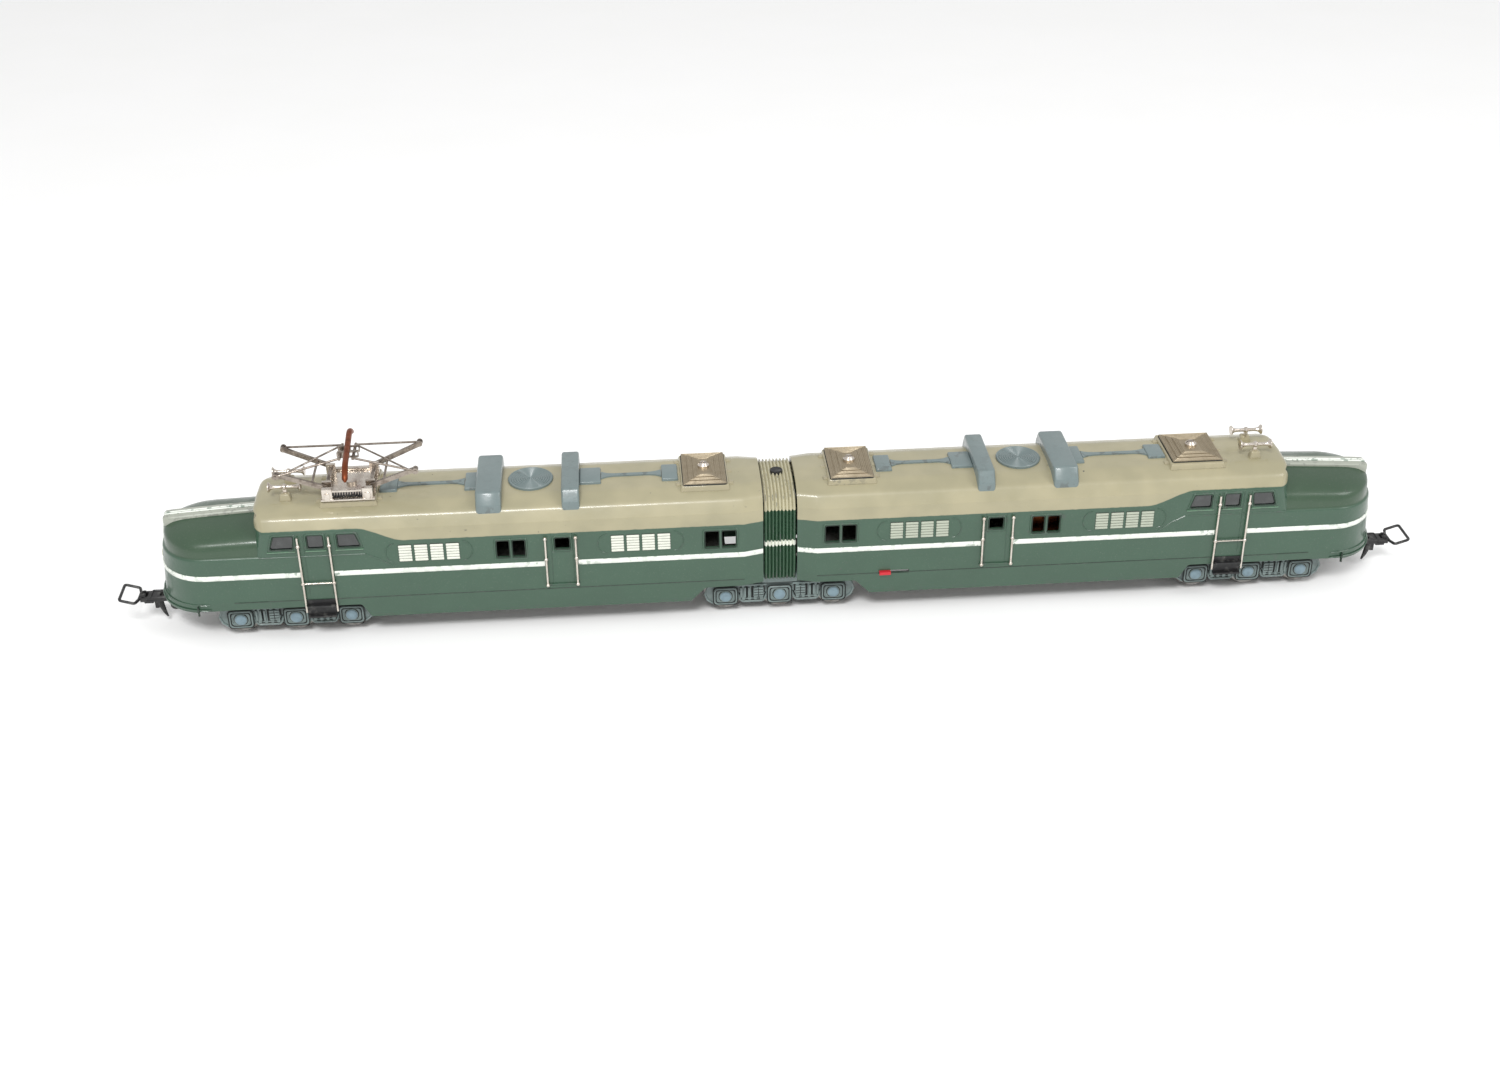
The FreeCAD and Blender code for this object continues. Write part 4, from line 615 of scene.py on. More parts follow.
def raw_object(name, piece):
    """A helper mesh, still in millimetres, that the carving uses and removes."""
    bmesh.ops.recalc_face_normals(piece.bm, faces=piece.bm.faces)
    mesh = bpy.data.meshes.new(name)
    piece.bm.to_mesh(mesh)
    piece.bm.free()
    obj = bpy.data.objects.new(name, mesh)
    bpy.context.scene.collection.objects.link(obj)
    return obj


def arch_cutters():
    """Openings in the skirt over the bogies, and the shallow apron under the nose."""
    low = SKIRT - 8
    pitch = BOGIE_PITCH
    outlines = [
        [(-3, low), (31.9, low), (29.8, SKIRT), (25.4, 13.0), (24.6, 13.6), (-3, 14.0)],
        [(pitch - 29.4, low), (pitch + 30.0, low), (pitch + 30.0, 13.2), (pitch + 19.0, 13.5),
         (pitch - 21.8, 13.5), (pitch - 22.7, 13.2)],
        [(pitch + 29.7, low), (225, low), (225, 12.7), (pitch + 29.7, 12.7)],
    ]
    return [Piece().prism(outline, -30, 30) for outline in outlines]


SIDE_WINDOWS = [(14.6, 19.3), (20.1, 24.8), (83.0, 87.2), (88.1, 92.3)]
SIDE_WINDOW_Z = (28.9, 35.3)
DOOR_WINDOW = (68.6, 73.5)
DOOR_WINDOW_Z = (31.1, 35.5)
CAB_WINDOWS = [
    [(157.0, 35.6), (164.4, 35.6), (162.6, 40.4), (156.4, 40.4)],
    [(147.1, 35.6), (152.2, 35.6), (152.2, 40.4), (147.1, 40.4)],
    [(135.3, 35.6), (142.6, 35.6), (142.6, 40.4), (136.9, 40.4)],
]
WINDSCREENS = [(-12.6, -1.4), (1.4, 12.6)]
WINDSCREEN_Z = (43.2, 46.2)
LEVER_SLOT = (32.5, 42.7, 16.0, 17.3)


def rectangle(x0, x1, z0, z1):
    """Corners of an upright rectangle."""
    return [(x0, z0), (x1, z0), (x1, z1), (x0, z1)]


def side_openings():
    """The outlines of every window in one side of a car."""
    panes = [rectangle(x0, x1, *SIDE_WINDOW_Z) for x0, x1 in SIDE_WINDOWS]
    panes.append(rectangle(*DOOR_WINDOW, *DOOR_WINDOW_Z))
    return panes + CAB_WINDOWS


def window_cutter():
    """All windows of one car as one cutter."""
    tool = Piece()
    for corners in side_openings():
        outline = closed_outline([(x, z, 0.5) for x, z in corners], 3)
        for side in (-1, 1):
            tool.prism(outline, side * 10, side * 20)
    low, high = WINDSCREEN_Z
    for y0, y1 in WINDSCREENS:
        outline = closed_outline([(y0, low, 0.6), (y1, low, 0.6), (y1, high, 0.6), (y0, high, 0.6)], 3)
        tool.bar(outline, 160, 176)
    return tool


def car_body(car, sign):
    """The cast shell of one car: the long body with its roof, and the nose in front of it."""
    tools = [skinned(body_rows(WALL)), skinned(nose_rows(WALL))] + arch_cutters() + [window_cutter()]
    if car == "car_b":
        tools.append(Piece().prism(rectangle(*LEVER_SLOT), -19, -13))
    mesh = carved(car + "_body", body_rows(), tools)
    body = finish_carved(mesh, car + "_body", FINISHES["two_tone"], car, sign)
    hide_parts(car + "_shell")
    lens_hole = Piece().lathe([(2.1, -6.0), (2.1, 6.0)], (NOSE_CENTRE + NOSE_REACH, 0, LAMP_Z), "x")
    tools = [skinned(nose_rows(WALL)), skinned(body_rows(WALL))] + arch_cutters() + [lens_hole]
    mesh = carved(car + "_nose", nose_rows(), tools)
    nose = finish_carved(mesh, car + "_nose", FINISHES["hood"], car, sign)


def finish_carved(mesh, name, finish, body, sign):
    """Mirrors a carved mesh for car A, brings it to metres and dresses it."""
    mesh.transform(Matrix.Diagonal((sign * MM, MM, MM, 1.0)))
    if sign < 0:
        mesh.flip_normals()
    return dress(mesh, name, finish, body, 28.0)


def fit(piece, name, finish, body, sign=1, replaces=None):
    """Makes a gathered piece, lets it ride on a body and hides the CAD node that it replaces, if any."""
    obj = piece.make(name, FINISHES[finish], body, sign)
    if replaces:
        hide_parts(replaces)


# ---- trim on the cars

def band(piece, path, low, high, proud=0.3):
    """A flat moulding along a path of (x, y, outward x, outward y)."""
    rows = []
    for x, y, nx, ny in path:
        row = []
        for z, out in ((low, -0.4), (low, proud * 0.5), (low + 0.25, proud), (high - 0.25, proud),
                       (high, proud * 0.5), (high, -0.4)):
            row.append((x + nx * out, y + ny * out, z))
        rows.append(row)
    piece.grid(rows, loop=True, caps=True)


def flank_path(start, end, side):
    """Along one side of a car, facing outwards."""
    return [(x, side * side_reach(x), 0.0, side) for x in spans(start, end, 4.0)]


def nose_path(start, front):
    """Along one flank from start, round the nose and back to start on the other flank."""
    path = []
    for x, y in nose_plan(front, NOSE_SIDE, start):
        if x <= NOSE_CENTRE:
            path.append((x, y, 0.0, math.copysign(1, y)))
        else:
            out = Vector(((x - NOSE_CENTRE) / NOSE_REACH ** 2, y / HALF ** 2)).normalized()
            path.append((x, y, out.x, out.y))
    return path


def stripe(car, sign):
    """The white line along both sides, broken at the doors, and round the nose."""
    line = Piece()
    low, high = STRIPE_Z - 0.88, STRIPE_Z + 0.88
    for side in (-1, 1):
        for start, end in ((BODY_END + 0.1, CREASE), (CREASE, 66.2), (77.0, 144.7)):
            band(line, flank_path(start, end, side), low, high)
    band(line, nose_path(155.6, front=1.35), low, high)
    fit(line, car + "_stripe", "white_line", car, sign)


def ridge(car, sign):
    """The raised strip down the middle of the hood, its beak, and the white line below it."""
    strip = Piece()
    top = [(170.2, 43.3), (180.0, 42.75), (190.0, 42.1), (196.0, 41.7)]
    beak = [(199.4, 41.4), (199.9, 41.1), (199.9, 39.6)]
    under = [(199.6, 38.6), (196.0, 38.2), (184.0, 39.4), (170.2, 40.2)]
    half = [(0.9, 0.12), (1.1, 0.0), (2.6, 0.12), (2.9, 0.5)]
    rows = []
    for y, drop in [(-y, drop) for y, drop in reversed(half)] + half:
        row = [(x, y, z - drop) for x, z in top]
        row += [(x - drop, y, z - drop) for x, z in beak]
        row += [(x, y, z) for x, z in under]
        rows.append(row)
    strip.grid(rows, loop=True, caps=True)
    fit(strip, car + "_ridge", "ridge", car, sign)
    line = Piece()
    for y in (-0.55, 0.55):
        line.tube([(x, y, z + 0.02) for x, z in top + beak[:1]], 0.3, 6)
    front = [(200.1, 39.0), (200.6, 35.5), (200.7, 33.5), (201.2, 32.4), (201.4, 30.0), (201.7, 27.0)]
    line.tube([(x, 0.0, z) for x, z in front], 0.5, 6)
    fit(line, car + "_ridge_lines", "white_line", car, sign)


def lamp_glass(car, sign):
    """The headlamp's domed glass, in its rim on the white line."""
    dome = Piece()
    place = (NOSE_CENTRE + NOSE_REACH - 1.5, 0.0, LAMP_Z)
    dome.lathe([(1.85, -1.6), (1.85, 0.1), (1.6, 0.45), (1.1, 0.7), (0.4, 0.8)], place, "x", 28)
    fit(dome, car + "_lamp_glass", "lamp_lens", car, sign, replaces=car + "_headlamp_lens")
    rim = Piece()
    rim.lathe([(2.3, -1.4), (2.3, 0.05), (2.15, 0.2), (1.9, 0.2), (1.9, -1.4)], place, "x", 28)
    fit(rim, car + "_lamp_rim", "green_body", car, sign)


def apron(car, sign):
    """Two fine ribs round the foot of the nose."""
    ribs = Piece()
    for z, front in ((13.9, -0.55), (15.9, 0.0)):
        ribs.tube([(x, y, z) for x, y in nose_plan(front, NOSE_SIDE, 189.0)], 0.24, 6)
    fit(ribs, car + "_apron_ribs", "green_body", car, sign)


def ring(piece, corners, side, radius):
    """A round moulding along a window's edge in the side wall."""
    outline = closed_outline([(x, z, 0.7) for x, z in corners], 4)
    piece.tube([(u, side * HALF, v) for u, v in outline], radius, 6, closed=True)


def grown(corners, margin):
    """The same corners, each moved outwards."""
    middle_x = sum(x for x, z in corners) / len(corners)
    middle_z = sum(z for x, z in corners) / len(corners)
    moved = []
    for x, z in corners:
        moved.append((x + math.copysign(margin, x - middle_x), z + math.copysign(margin, z - middle_z)))
    return moved


LOUVRE_BANKS = [(103.7, 124.0), (35.6, 55.7)]
LOUVRE_Z = (29.3, 35.5)
DOORS = [(67.7, 74.6, 18.4, 37.0), (146.0, 153.4, 18.2, 41.0)]


def sill(piece, corners, side):
    """A ledge under a cab window, in a lighter green as painted highlight."""
    foot = min(z for x, z in corners)
    ends = [x for x, z in corners if z == foot]
    centre = ((min(ends) + max(ends)) / 2, side * (HALF + 0.25), foot - 0.75)
    piece.block(centre, (max(ends) - min(ends) + 1.6, 0.6, 0.34), 0.12)


def bank_ends(piece, start, end, side):
    """The half-round lines at both ends of a bank of louvres."""
    for turn in (-1, 1):
        far = (start + end) / 2 + turn * 10.9
        arc = []
        for k in range(13):
            angle = -math.pi / 2 + math.pi * k / 12
            arc.append((far + turn * 3.0 * math.cos(angle), side * HALF, 32.4 + 3.6 * math.sin(angle)))
        piece.tube(arc, 0.2, 6)


def panel_lines(car, sign):
    """Window frames with dark rings of painted shade inside them, sills in a lighter green as painted
    highlight, door outlines, the ledge below the cab windows and the waist crease, drawn as a dark line of
    painted shade.
    """
    trim = Piece()
    shade_lines = Piece()
    sills = Piece()
    for side in (-1, 1):
        wall = side * HALF
        for corners in side_openings():
            ring(trim, grown(corners, 0.5), side, 0.34)
            # A dark ring just inside each window's frame is painted shade.
            ring(shade_lines, grown(corners, 0.02), side, 0.2)
        for corners in CAB_WINDOWS:
            # Each sill is a lighter green as painted highlight.
            sill(sills, corners, side)
        trim.tube([(134.2, wall, LEDGE), (168.0, wall, LEDGE)], 0.22, 6)
        trim.tube([(134.2, wall, LEDGE), (130.0, wall, 30.8), (125.5, wall, 27.4)], 0.22, 6)
        for start, end in LOUVRE_BANKS:
            bank_ends(trim, start, end, side)
        for x0, x1, foot, head in DOORS:
            for x in (x0, x1):
                trim.tube([(x, wall, foot), (x, wall, head)], 0.14, 6)
        trim.block((71.2, side * (HALF + 0.1), 18.1), (10.4, 0.8, 0.5), 0.12)
        trim.tube([(67.7, wall, 30.2), (74.6, wall, 30.2)], 0.14, 6)
        # The waist crease is drawn as a dark line of painted shade.
        crease = [(x, side * (HALF + 0.02), 16.4) for x in spans(CREASE, 178.0, 6.0)]
        shade_lines.tube(crease, 0.13, 6)
        # The dark bar low on the nose's flank is painted shade.
        shade_lines.block((190.0, side * (HALF - 0.35), 13.6), (0.5, 0.9, 3.4), 0.1)
    for suffix, piece, finish in (("_mouldings", trim, "green_body"), ("_shade_lines", shade_lines, "painted_shade_line"),
                                  ("_sills", sills, "sill_highlight")):
        fit(piece, car + suffix, finish, car, sign)


def louvres(car, sign):
    """Two banks of four slatted panes on each side, in raised frames."""
    slats = Piece()
    # The dark sheet behind the slats is painted shadow.
    shadow_sheet = Piece()
    for side in (-1, 1):
        for start, end in LOUVRE_BANKS:
            width = (end - start) / 4
            for pane in range(4):
                left = start + pane * width + 0.42
                right = start + (pane + 1) * width - 0.42
                louvre_pane(slats, shadow_sheet, left, right, side)
    finish = "silver" if car == "car_a" else "pale_grey"
    fit(slats, car + "_louvres", finish, car, sign)
    fit(shadow_sheet, car + "_louvre_shadow_sheets", "louvre_painted_shadow", car, sign)


def louvre_pane(slats, shadow_sheet, left, right, side):
    """One frame of six flat slats over a dark sheet that is painted shadow."""
    low, high = LOUVRE_Z
    middle = (left + right) / 2
    shadow_sheet.block((middle, side * HALF, (low + high) / 2), (right - left, 0.3, high - low), 0.05)
    for k in range(6):
        z = low + 0.6 + k * 1.0
        slats.block((middle, side * (HALF + 0.2), z), (right - left - 0.1, 0.4, 0.82), 0.12, segments=1)


CONDUIT_Z = (47.1, 48.62)


def saddle(piece, x, length):
    """A duct across the roof: sloping ends, flat top, flanks that draw in."""
    near = [(-15.3, 43.4, 0), (-15.3, 47.3, 1.1), (-12.8, 51.2, 1.5)]
    outline = rounded(near + [(-y, z, radius) for y, z, radius in reversed(near)], 4)
    rows = []
    for step, inset in ((-1.0, 0.9), (-0.93, 0.3), (-0.8, 0.0), (0.8, 0.0), (0.93, 0.3), (1.0, 0.9)):
        row = []
        for point in outline:
            sink = 0.7 * inset if point.y > 45 else 0.0
            row.append((x + step * length / 2, point.x * (1 - inset / 22), point.y - sink))
        rows.append(row)
    piece.grid(rows, loop=True, caps=True)


def conduit(piece, start, end):
    """A flat duct along the roof that flares at both ends."""
    foot, top = CONDUIT_Z
    rows = []
    for share in (0.0, 0.04, 0.1, 0.2, 0.8, 0.9, 0.96, 1.0):
        x = start + (end - start) * share
        flare = max(0.0, 1 - min(share, 1 - share) / 0.2)
        half = 0.95 + 1.6 * flare ** 2
        rows.append([(x, -half, foot), (x, -half * 0.85, top), (x, half * 0.85, top), (x, half, foot)])
    piece.grid(rows, loop=True, caps=True)


def roof_equipment(car, sign):
    """Grey ducts, fan, pads and conduits, on both cars."""
    gear = Piece()
    saddle(gear, 93.9, 8.2)
    saddle(gear, 67.6, 5.8)
    fan = [(7.35, -1.5), (7.35, 0.5), (7.1, 0.75)]
    for k in range(9):
        radius = 6.9 - 0.75 * k
        fan += [(radius, 0.72), (radius - 0.2, 0.5), (radius - 0.5, 0.5), (radius - 0.65, 0.74)]
    gear.lathe(fan, (80.6, 0, 48.1), "z", 64)
    for x0, x1, half in ((32.4, 38.0, 5.2), (57.5, 64.9, 5.2), (97.6, 102.0, 5.6), (123.5, 129.5, 4.5)):
        gear.block(((x0 + x1) / 2, 0, 48.0), (x1 - x0, 2 * half, 1.9), 0.35, (0.92, 0.95), 3)
    conduit(gear, 38.0, 57.6)
    conduit(gear, 102.0, 123.6)
    fit(gear, car + "_roof_ducts", "duct_grey", car, sign)
    beds = Piece()
    for x, length in ((24.0, 14.6), (138.6, 17.0)):
        beds.block((x, 0, 47.9), (length + 1.8, 22.6, 2.0), 0.4, (0.93, 0.95), 3)
        for side in (-1, 1):
            for y in (-7.5, 0.0, 7.5):
                gusset = (x + side * (length / 2 + 1.2), y, 47.6)
                beds.block(gusset, (2.2, 2.4, 1.6), 0.3, (0.7, 0.8), 2)
    for flank in (-1, 1):
        beds.block((HORN_X, flank * 5.8, 48.9), (4.0, 3.0, 2.6), 0.4, (0.7, 0.7), 3)
    fit(beds, car + "_roof_beds", "beige", car, sign)


HORN_X = 159.0
PLATES = {"car_a": [(24.0, 14.0, 21.0)], "car_b": [(24.0, 14.0, 21.0), (138.8, 16.6, 19.0)]}
PLATE_Z = 48.9


def square_loop(piece, x, length, width, z, radius):
    """A level rounded square of wire."""
    u, v = length / 2, width / 2
    corners = [(x - u, -v, 0.6), (x + u, -v, 0.6), (x + u, v, 0.6), (x - u, v, 0.6)]
    piece.tube([(p.x, p.y, z) for p in closed_outline(corners, 3)], radius, 6, closed=True)


def plate_ribs(car, sign):
    """Concentric square ribs pressed into each roof plate, and a dark line at its foot, painted shade where
    it meets the roof.
    """
    ribs = Piece()
    joint = Piece()
    for x, length, width in PLATES[car]:
        for index in range(3):
            level = PLATE_Z + 1.2 * (1 - 0.22 * (2 - index))
            for inset in (0.35, 0.95, 1.5):
                shrink = 3.6 * index + 2 * inset
                square_loop(ribs, x, length - shrink, width - shrink, level, 0.15)
        # The dark wire round the plate's foot is painted shade.
        square_loop(joint, x, length + 0.1, width + 0.1, PLATE_Z + 0.1, 0.22)
    fit(ribs, car + "_plate_ribs", "plate_metal", car, sign)
    fit(joint, car + "_plate_joints", "grime", car, sign)


def horns(car, sign):
    """Two double-ended trumpets, each on a post, with a collar between the bells."""
    trumpet = Piece()
    shaft = [(1.0, 0.0), (1.0, 0.3), (0.6, 0.75), (0.55, 2.6), (0.7, 3.9)]
    bell = [(0.95, 4.4), (1.6, 4.9), (1.65, 5.2), (1.1, 5.0)]
    half = shaft + bell
    profile = [(radius, -along) for radius, along in reversed(half[1:])] + half
    for flank in (-1, 1):
        trumpet.lathe(profile, (HORN_X, flank * 5.2, 52.2), "x", 24)
        trumpet.block((HORN_X, flank * 5.2, 50.5), (1.3, 1.1, 2.8), 0.2)
    fit(trumpet, car + "_trumpets", "nickel", car, sign, replaces=car + "_horns")


# ---- bogies

AXLE_Z = 6.95
AXLE_PITCH = 18.1
FRAME_FACE = 12.0


def box_outline(piece, x, side, half, radius, out=0.0):
    """A rounded rectangle of wire on the face of an axle box, a little wider than it is high."""
    rise = half - 0.75
    corners = [(x + u * half, AXLE_Z + v * rise, 1.0) for u, v in ((-1, -1), (1, -1), (1, 1), (-1, 1))]
    points = [(p.x, side * (FRAME_FACE + out), p.y) for p in closed_outline(corners, 3)]
    piece.tube(points, radius, 6, closed=True)


def spring_panel(relief, grime, x, inward, side):
    """The bowl between two axle boxes: double rim, upright springs and a ribbed damper."""
    back = side * (FRAME_FACE - 0.55)
    front = side * (FRAME_FACE - 0.1)
    groove = side * (FRAME_FACE + 0.3)
    # A dark ring in the rim's groove, a dark sheet behind the bowl and dark lines in the damper's grooves
    # are painted shade.
    for piece, drop, radius in ((relief, 0.0, 0.36), (grime, 0.6, 0.2), (relief, 1.05, 0.22)):
        mouth = 5.0 - drop
        foot = 3.7 - drop * 0.6
        rim = rounded([(x - mouth, 7.6, 0), (x - foot, 4.3 + drop, 1.2), (x + foot, 4.3 + drop, 1.2),
                       (x + mouth, 7.6, 0)], 4)
        piece.tube([(p.x, back, p.y) for p in rim], radius, 6)
    relief.block((x, back, 10.7), (9.4, 0.9, 0.7), 0.2)
    grime.block((x, back - side * 0.2, 8.0), (8.4, 0.5, 4.6), 0.1)
    for k in range(3):
        relief.block((x - inward * (1.2 + 1.3 * k), front, 8.1), (0.7, 0.9, 3.9), 0.2)
    middle = x + inward * 2.0
    relief.block((middle, front, 8.1), (3.4, 0.9, 3.7), 0.25)
    for k in range(3):
        grime.block((middle, groove, 7.1 + k), (3.0, 0.3, 0.2), 0.05)
    grime.block((middle, groove, 8.1), (0.22, 0.3, 3.3), 0.05)


def bogie_trim(letter, centre):
    """Rims, caps and spring gear on both side frames, with dark pieces in the grooves between them as
    painted shade.
    """
    relief = Piece()
    grime = Piece()
    caps = Piece()
    dome = [(2.1, -0.3), (2.1, 0.1), (1.95, 0.25), (1.8, 0.62), (1.5, 0.82), (0.8, 0.94)]
    for side in (-1, 1):
        for box in (-1, 0, 1):
            x = centre + box * AXLE_PITCH
            hub = (x, side * FRAME_FACE, AXLE_Z)
            box_outline(relief, x, side, 3.6, 0.34)
            box_outline(relief, x, side, 2.85, 0.24)
            # Dark rings round and between the raised rims, and a dark ring behind each cap, are painted
            # shade.
            box_outline(grime, x, side, 4.05, 0.2)
            box_outline(grime, x, side, 3.22, 0.18, 0.12)
            caps.lathe([(radius, side * out) for radius, out in dome], hub, "y", 28)
            grime.lathe([(2.35, side * -0.3), (2.35, side * 0.1)], hub, "y", 28)
        for panel in (-1, 1):
            spring_panel(relief, grime, centre + panel * AXLE_PITCH / 2, -panel, side)
        for end in (-1, 1):
            x = centre + end * 24.1
            hook = [(x - end * 1.4, 11.4), (x, 10.2), (x + end * 0.9, 7.8), (x, 5.4), (x - end * 1.8, 4.1)]
            relief.tube([(u, side * (FRAME_FACE - 0.6), v) for u, v in hook], 0.4, 6)
    body = "bogie_" + letter
    for suffix, piece, finish in (("_relief", relief, "bogie_blue_grey"), ("_grime", grime, "grime"),
                                  ("_caps", caps, "cap_grey")):
        fit(piece, body + suffix, finish, body)


# ---- pantograph and couplers

PANTO_X = -138.4
BOW_HALF = 17.3
BOW_RADIUS = 0.98


def contact_bow():
    """The copper bow: a rounded bar, slightly askew across the track, whose ends droop."""
    bar = Piece()
    path = []
    radii = []
    for k in range(41):
        y = -BOW_HALF + 2 * BOW_HALF * k / 40
        droop = 3.0 * max(0.0, (abs(y) - 10.0) / 7.3) ** 2
        path.append((PANTO_X - 0.045 * y, y, 62.4 - droop))
        tip = max(0.0, abs(y) - 16.2) / 1.15
        radii.append(BOW_RADIUS * math.sqrt(max(0.12, 1 - tip ** 2)))
    bar.tube(path, radii, 14)
    fit(bar, "panto_contact_bow", "strip_copper", "panto_head", replaces="panto_bow")


def base_gear():
    """Bright spring housings on the near side of the pantograph's base, with the spring between them."""
    gear = Piece()
    for side in (-1, 1):
        gear.block((PANTO_X + side * 6.4, -10.7, 51.8), (3.4, 1.7, 4.2), 0.25)
        gear.block((PANTO_X + side * 6.4, -11.6, 51.2), (1.8, 0.5, 2.4), 0.15)
        gear.block((PANTO_X, side * 9.2, 50.3), (15.6, 1.6, 0.9), 0.2)
    gear.block((PANTO_X, -11.0, 49.9), (17.2, 1.5, 0.7), 0.2)
    gear.block((PANTO_X, -11.4, 53.1), (9.4, 0.6, 0.7), 0.15)
    fit(gear, "panto_base_gear", "nickel", "car_a")
    coil = Piece()
    turns, per_turn = 11, 10
    steps = turns * per_turn
    path = []
    for k in range(steps + 1):
        angle = 2 * math.pi * k / per_turn
        x = PANTO_X - 4.6 + 9.2 * k / steps
        path.append((x, -11.2 + 0.75 * math.cos(angle), 51.6 + 0.75 * math.sin(angle)))
    coil.tube(path, 0.2, 6)
    fit(coil, "panto_base_coil", "black_metal", "car_a")


def coupler_trim(car, sign):
    """A roller, a tapered prong and a raised rim on each coupler's shank."""
    trim = Piece()
    rim = closed_outline([(202.6, -2.3, 0.5), (208.6, -2.3, 0.5), (208.6, 2.3, 0.5), (202.6, 2.3, 0.5)], 3)
    trim.tube([(p.x, p.y, 11.0) for p in rim], 0.3, 6, closed=True)
    trim.lathe([(1.7, -0.5), (1.7, 0.5), (1.0, 0.5), (1.0, -0.5)], (200.6, -2.7, 8.4), "y", 20)
    prong = [(206.4, 0.0, 9.6), (206.2, 0.0, 7.4), (205.4, 0.0, 4.2), (204.6, 0.0, 2.2)]
    trim.tube(prong, [1.2, 1.1, 0.7, 0.3], 8)
    trim.block((209.4, 0.0, 9.4), (3.2, 4.8, 1.2), 0.3)
    for y in (-1.6, 1.6):
        trim.tube([(210.4, y, 10.6), (211.0, y, 11.3), (211.8, y, 11.2)], 0.35, 6)
    body = "coupler_" + car[-1]
    fit(trim, body + "_trim", "black_metal", body, sign)


def coupler_loop(car, sign):
    """The black wire loop, hinged on the shank and cocked up a little towards its end."""
    wire = Piece()
    near = [(212.6, -2.2, 0.4), (213.4, -5.0, 0.8), (218.2, -5.0, 0.8)]
    outline = closed_outline(near + [(x, -y, radius) for x, y, radius in reversed(near)], 3)
    wire.tube([(p.x, p.y, 10.4 + 0.32 * (p.x - 212.6)) for p in outline], 0.5, 8, closed=True)
    wire.block((212.2, 0.0, 10.3), (1.6, 2.5, 0.9), 0.2)
    wire.lathe([(0.85, -1.25), (0.85, 1.25)], (211.4, 0.0, 10.2), "y", 20)
    name = f"coupler_{car[-1]}_loop"
    fit(wire, name + "_wire", "black_metal", name, sign, replaces=name)


# ---- bellows

def arch(reach, x):
    """The bellows' outline across the track at one station, grown or drawn in by reach."""
    half = [
        (14.6, 14.6, 0),
        (END_HALF, 20.0, 2.0),
        (END_HALF, 41.0, 3.0),
        (13.2, 45.0, 3.5),
        (7.0, 46.9, 6.0),
        (0.0, 47.3, 0),
    ]
    near = subdivided(rounded(half, 5), 2.5)
    outline = near + [Vector((-point.x, point.y)) for point in reversed(near[:-1])]
    row = []
    for point in outline:
        lift = min(1.0, max(0.0, (point.y - 40.0) / 6.0))
        row.append((x, point.x * (1 + reach / END_HALF), point.y + reach * lift))
    return row


def bellows():
    """Nine pressed ribs from car to car, in two halves either side of the middle."""
    half_length = 5.2
    ribs = 9
    per_rib = 8
    pitch = 2 * half_length / ribs
    for side, first, second in ((-1, "car_a", "bogie_c"), (1, "bogie_c", "car_b")):
        outside = []
        inside = []
        count = ribs * per_rib // 2
        for k in range(count + 1):
            x = side * half_length * k / count
            wave = 0.5 + 0.5 * math.cos(2 * math.pi * x / pitch)
            outside.append(arch(-0.75 + 0.95 * wave ** 0.6, x))
            inside.append(arch(-1.6, x))
        tube = Piece().grid(outside + inside[::-1] + [outside[0]])
        bmesh.ops.remove_doubles(tube.bm, verts=tube.bm.verts, dist=1e-5)
        close_feet(tube.bm)
        name = "bellows_left" if side < 0 else "bellows_right"
        piece = tube.make(name, bellows_finish(name), None, smooth=60.0)
        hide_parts("bellows")
        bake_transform(piece)


def top_hole():
    """A black plug in the middle of the bellows' crown, painted shade for the inside of its screwdriver
    hole.
    """
    well = Piece()
    well.lathe([(2.0, -1.4), (2.0, 0.3), (1.8, 0.34), (1.7, 0.26), (0.5, 0.24)], (0.0, 0.0, 47.5), "z", 28)
    fit(well, "bellows_top_hole", "black_plastic", "bogie_c")


def close_feet(bm):
    """Closes the open feet of the arch."""
    open_edges = [edge for edge in bm.edges if edge.is_boundary]
    bmesh.ops.holes_fill(bm, edges=open_edges, sides=0)


def bellows_finish(name):
    """Green ribs under a beige crown, with the car's white line painted over them in patches. The crown's
    beige and the white line are lighter than the same paint on the cars, as painted light that offsets the
    shade between the ribs.
    """
    def crown(paint, green):
        axes = paint.axes()
        wobble = paint.maths("MULTIPLY", paint.maths("SUBTRACT", paint.noise(1.6, 3.0), 0.5), 1.2 * MM)
        height = paint.maths("ADD", axes["Z"], wobble)
        # Painted light: this beige is lighter than the roof's, to offset the shade between the ribs.
        colour = paint.blend(paint.spread(height, 40.6 * MM, 40.9 * MM), green, tint(192, 186, 158))
        above = paint.spread(height, 27.5 * MM, 27.7 * MM)
        below = paint.spread(height, 29.3 * MM, 29.5 * MM, 1.0, 0.0)
        # Painted light: this white is lighter than the cars' white line, to offset the same shade.
        return paint.blend(paint.maths("MULTIPLY", above, below), colour, tint(236, 238, 226))
    return enamel(name + "_enamel", (46, 78, 55), gloss=0.38, chips=1.6, second=crown)


# ---- the whole object

DARK_NODES = ("panto_head", "panto_lower_left", "panto_lower_right", "panto_upper_left", "panto_upper_right")
PLATE_NODES = ("car_a_roof_plate", "car_b_roof_plates")


def dress_nodes():
    """Gives every carried-over CAD node the finish of its material slot, or a darker one of its own."""
    parts = frame["record"]["subparts"]
    finishes = {part["node"]: part["material_slot"] for part in parts if "node" in part}
    finishes.update({name: "dark_nickel" for name in DARK_NODES})
    finishes.update({name: "plate_metal" for name in PLATE_NODES})
    for name, obj in frame["nodes"].items():
        obj.data.materials.clear()
        obj.data.materials.append(FINISHES[finishes.get(name, "plain_steel")])


def floor():
    """A pale table top, six metres across."""
    table = Piece()
    places = spans(-3000.0, 3000.0, 750.0)
    table.grid([[(x, y, 0.0) for y in places] for x in places])
    surface = Finish("table_white")
    shade = surface.blend(surface.noise(60.0, 2.0), tint(247, 247, 246), tint(250, 250, 250))
    table.make("floor", surface.finish(shade, 0.7), None)


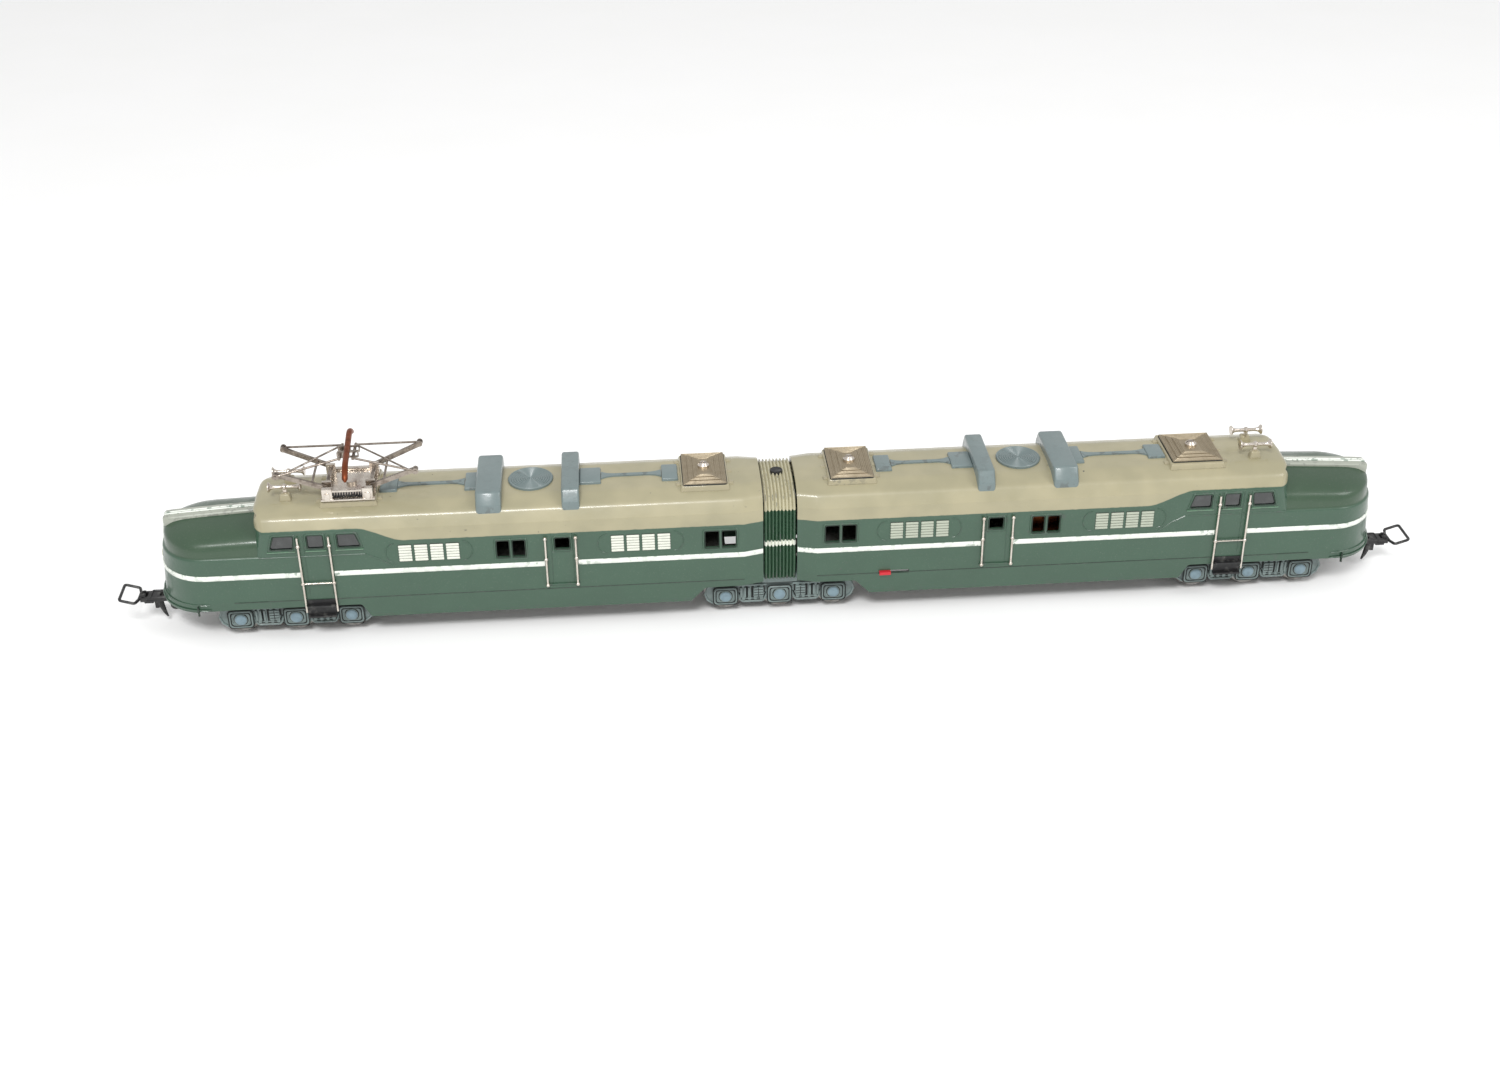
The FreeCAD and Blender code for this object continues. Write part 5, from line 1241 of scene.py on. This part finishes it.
def lamp(name, place, aim, size, power):
    """A soft white lamp that faces a point."""
    light = bpy.data.lights.new(name, "AREA")
    light.shape = "RECTANGLE"
    light.size, light.size_y = size
    light.energy = power
    obj = bpy.data.objects.new(name, light)
    obj.location = Vector(place)
    obj.rotation_mode = "QUATERNION"
    obj.rotation_quaternion = (Vector(aim) - Vector(place)).to_track_quat("-Z", "Y")
    bpy.context.scene.collection.objects.link(obj)


def studio():
    """An even white sky, a large lamp in front and a weaker one from the right."""
    world = bpy.data.worlds.new("studio")
    world.use_nodes = True
    world.node_tree.nodes["Background"].inputs["Color"].default_value = (1.0, 1.0, 1.0, 1.0)
    world.node_tree.nodes["Background"].inputs["Strength"].default_value = 0.75
    scene = bpy.context.scene
    scene.world = world
    scene.view_settings.view_transform = "Standard"
    lamp("key", (-0.25, -0.95, 1.15), (0, 0, 0.02), (0.5, 0.3), 14.0)
    lamp("fill", (0.9, -0.5, 0.9), (0.05, 0, 0.02), (0.5, 0.5), 4.0)


def camera():
    """Looks down on the near side, from just over half a metre away."""
    right = Vector((0.99703, -0.07662, -0.00838))
    above = Vector((0.04598, 0.50409, 0.86243))
    ahead = Vector((0.06186, 0.86025, -0.50611))
    data = bpy.data.cameras.new("camera")
    data.sensor_width = 36.0
    data.lens = 45.52
    data.clip_start = 0.01
    obj = bpy.data.objects.new("camera", data)
    turn = Matrix((right, above, -ahead)).transposed().to_4x4()
    obj.matrix_world = Matrix.Translation(Vector((-48.27, -548.31, 345.97)) * MM) @ turn
    bpy.context.scene.collection.objects.link(obj)
    bpy.context.scene.camera = obj


dress_nodes()
for car, sign in CARS:
    car_body(car, sign)
    stripe(car, sign)
    ridge(car, sign)
    panel_lines(car, sign)
    louvres(car, sign)
    roof_equipment(car, sign)
    apron(car, sign)
    lamp_glass(car, sign)
    coupler_loop(car, sign)
    plate_ribs(car, sign)
    horns(car, sign)
    coupler_trim(car, sign)
for letter, centre in (("a", -BOGIE_PITCH), ("c", 0.0), ("b", BOGIE_PITCH)):
    bogie_trim(letter, centre)
contact_bow()
base_gear()
bellows()
top_hole()
floor()
studio()
camera()
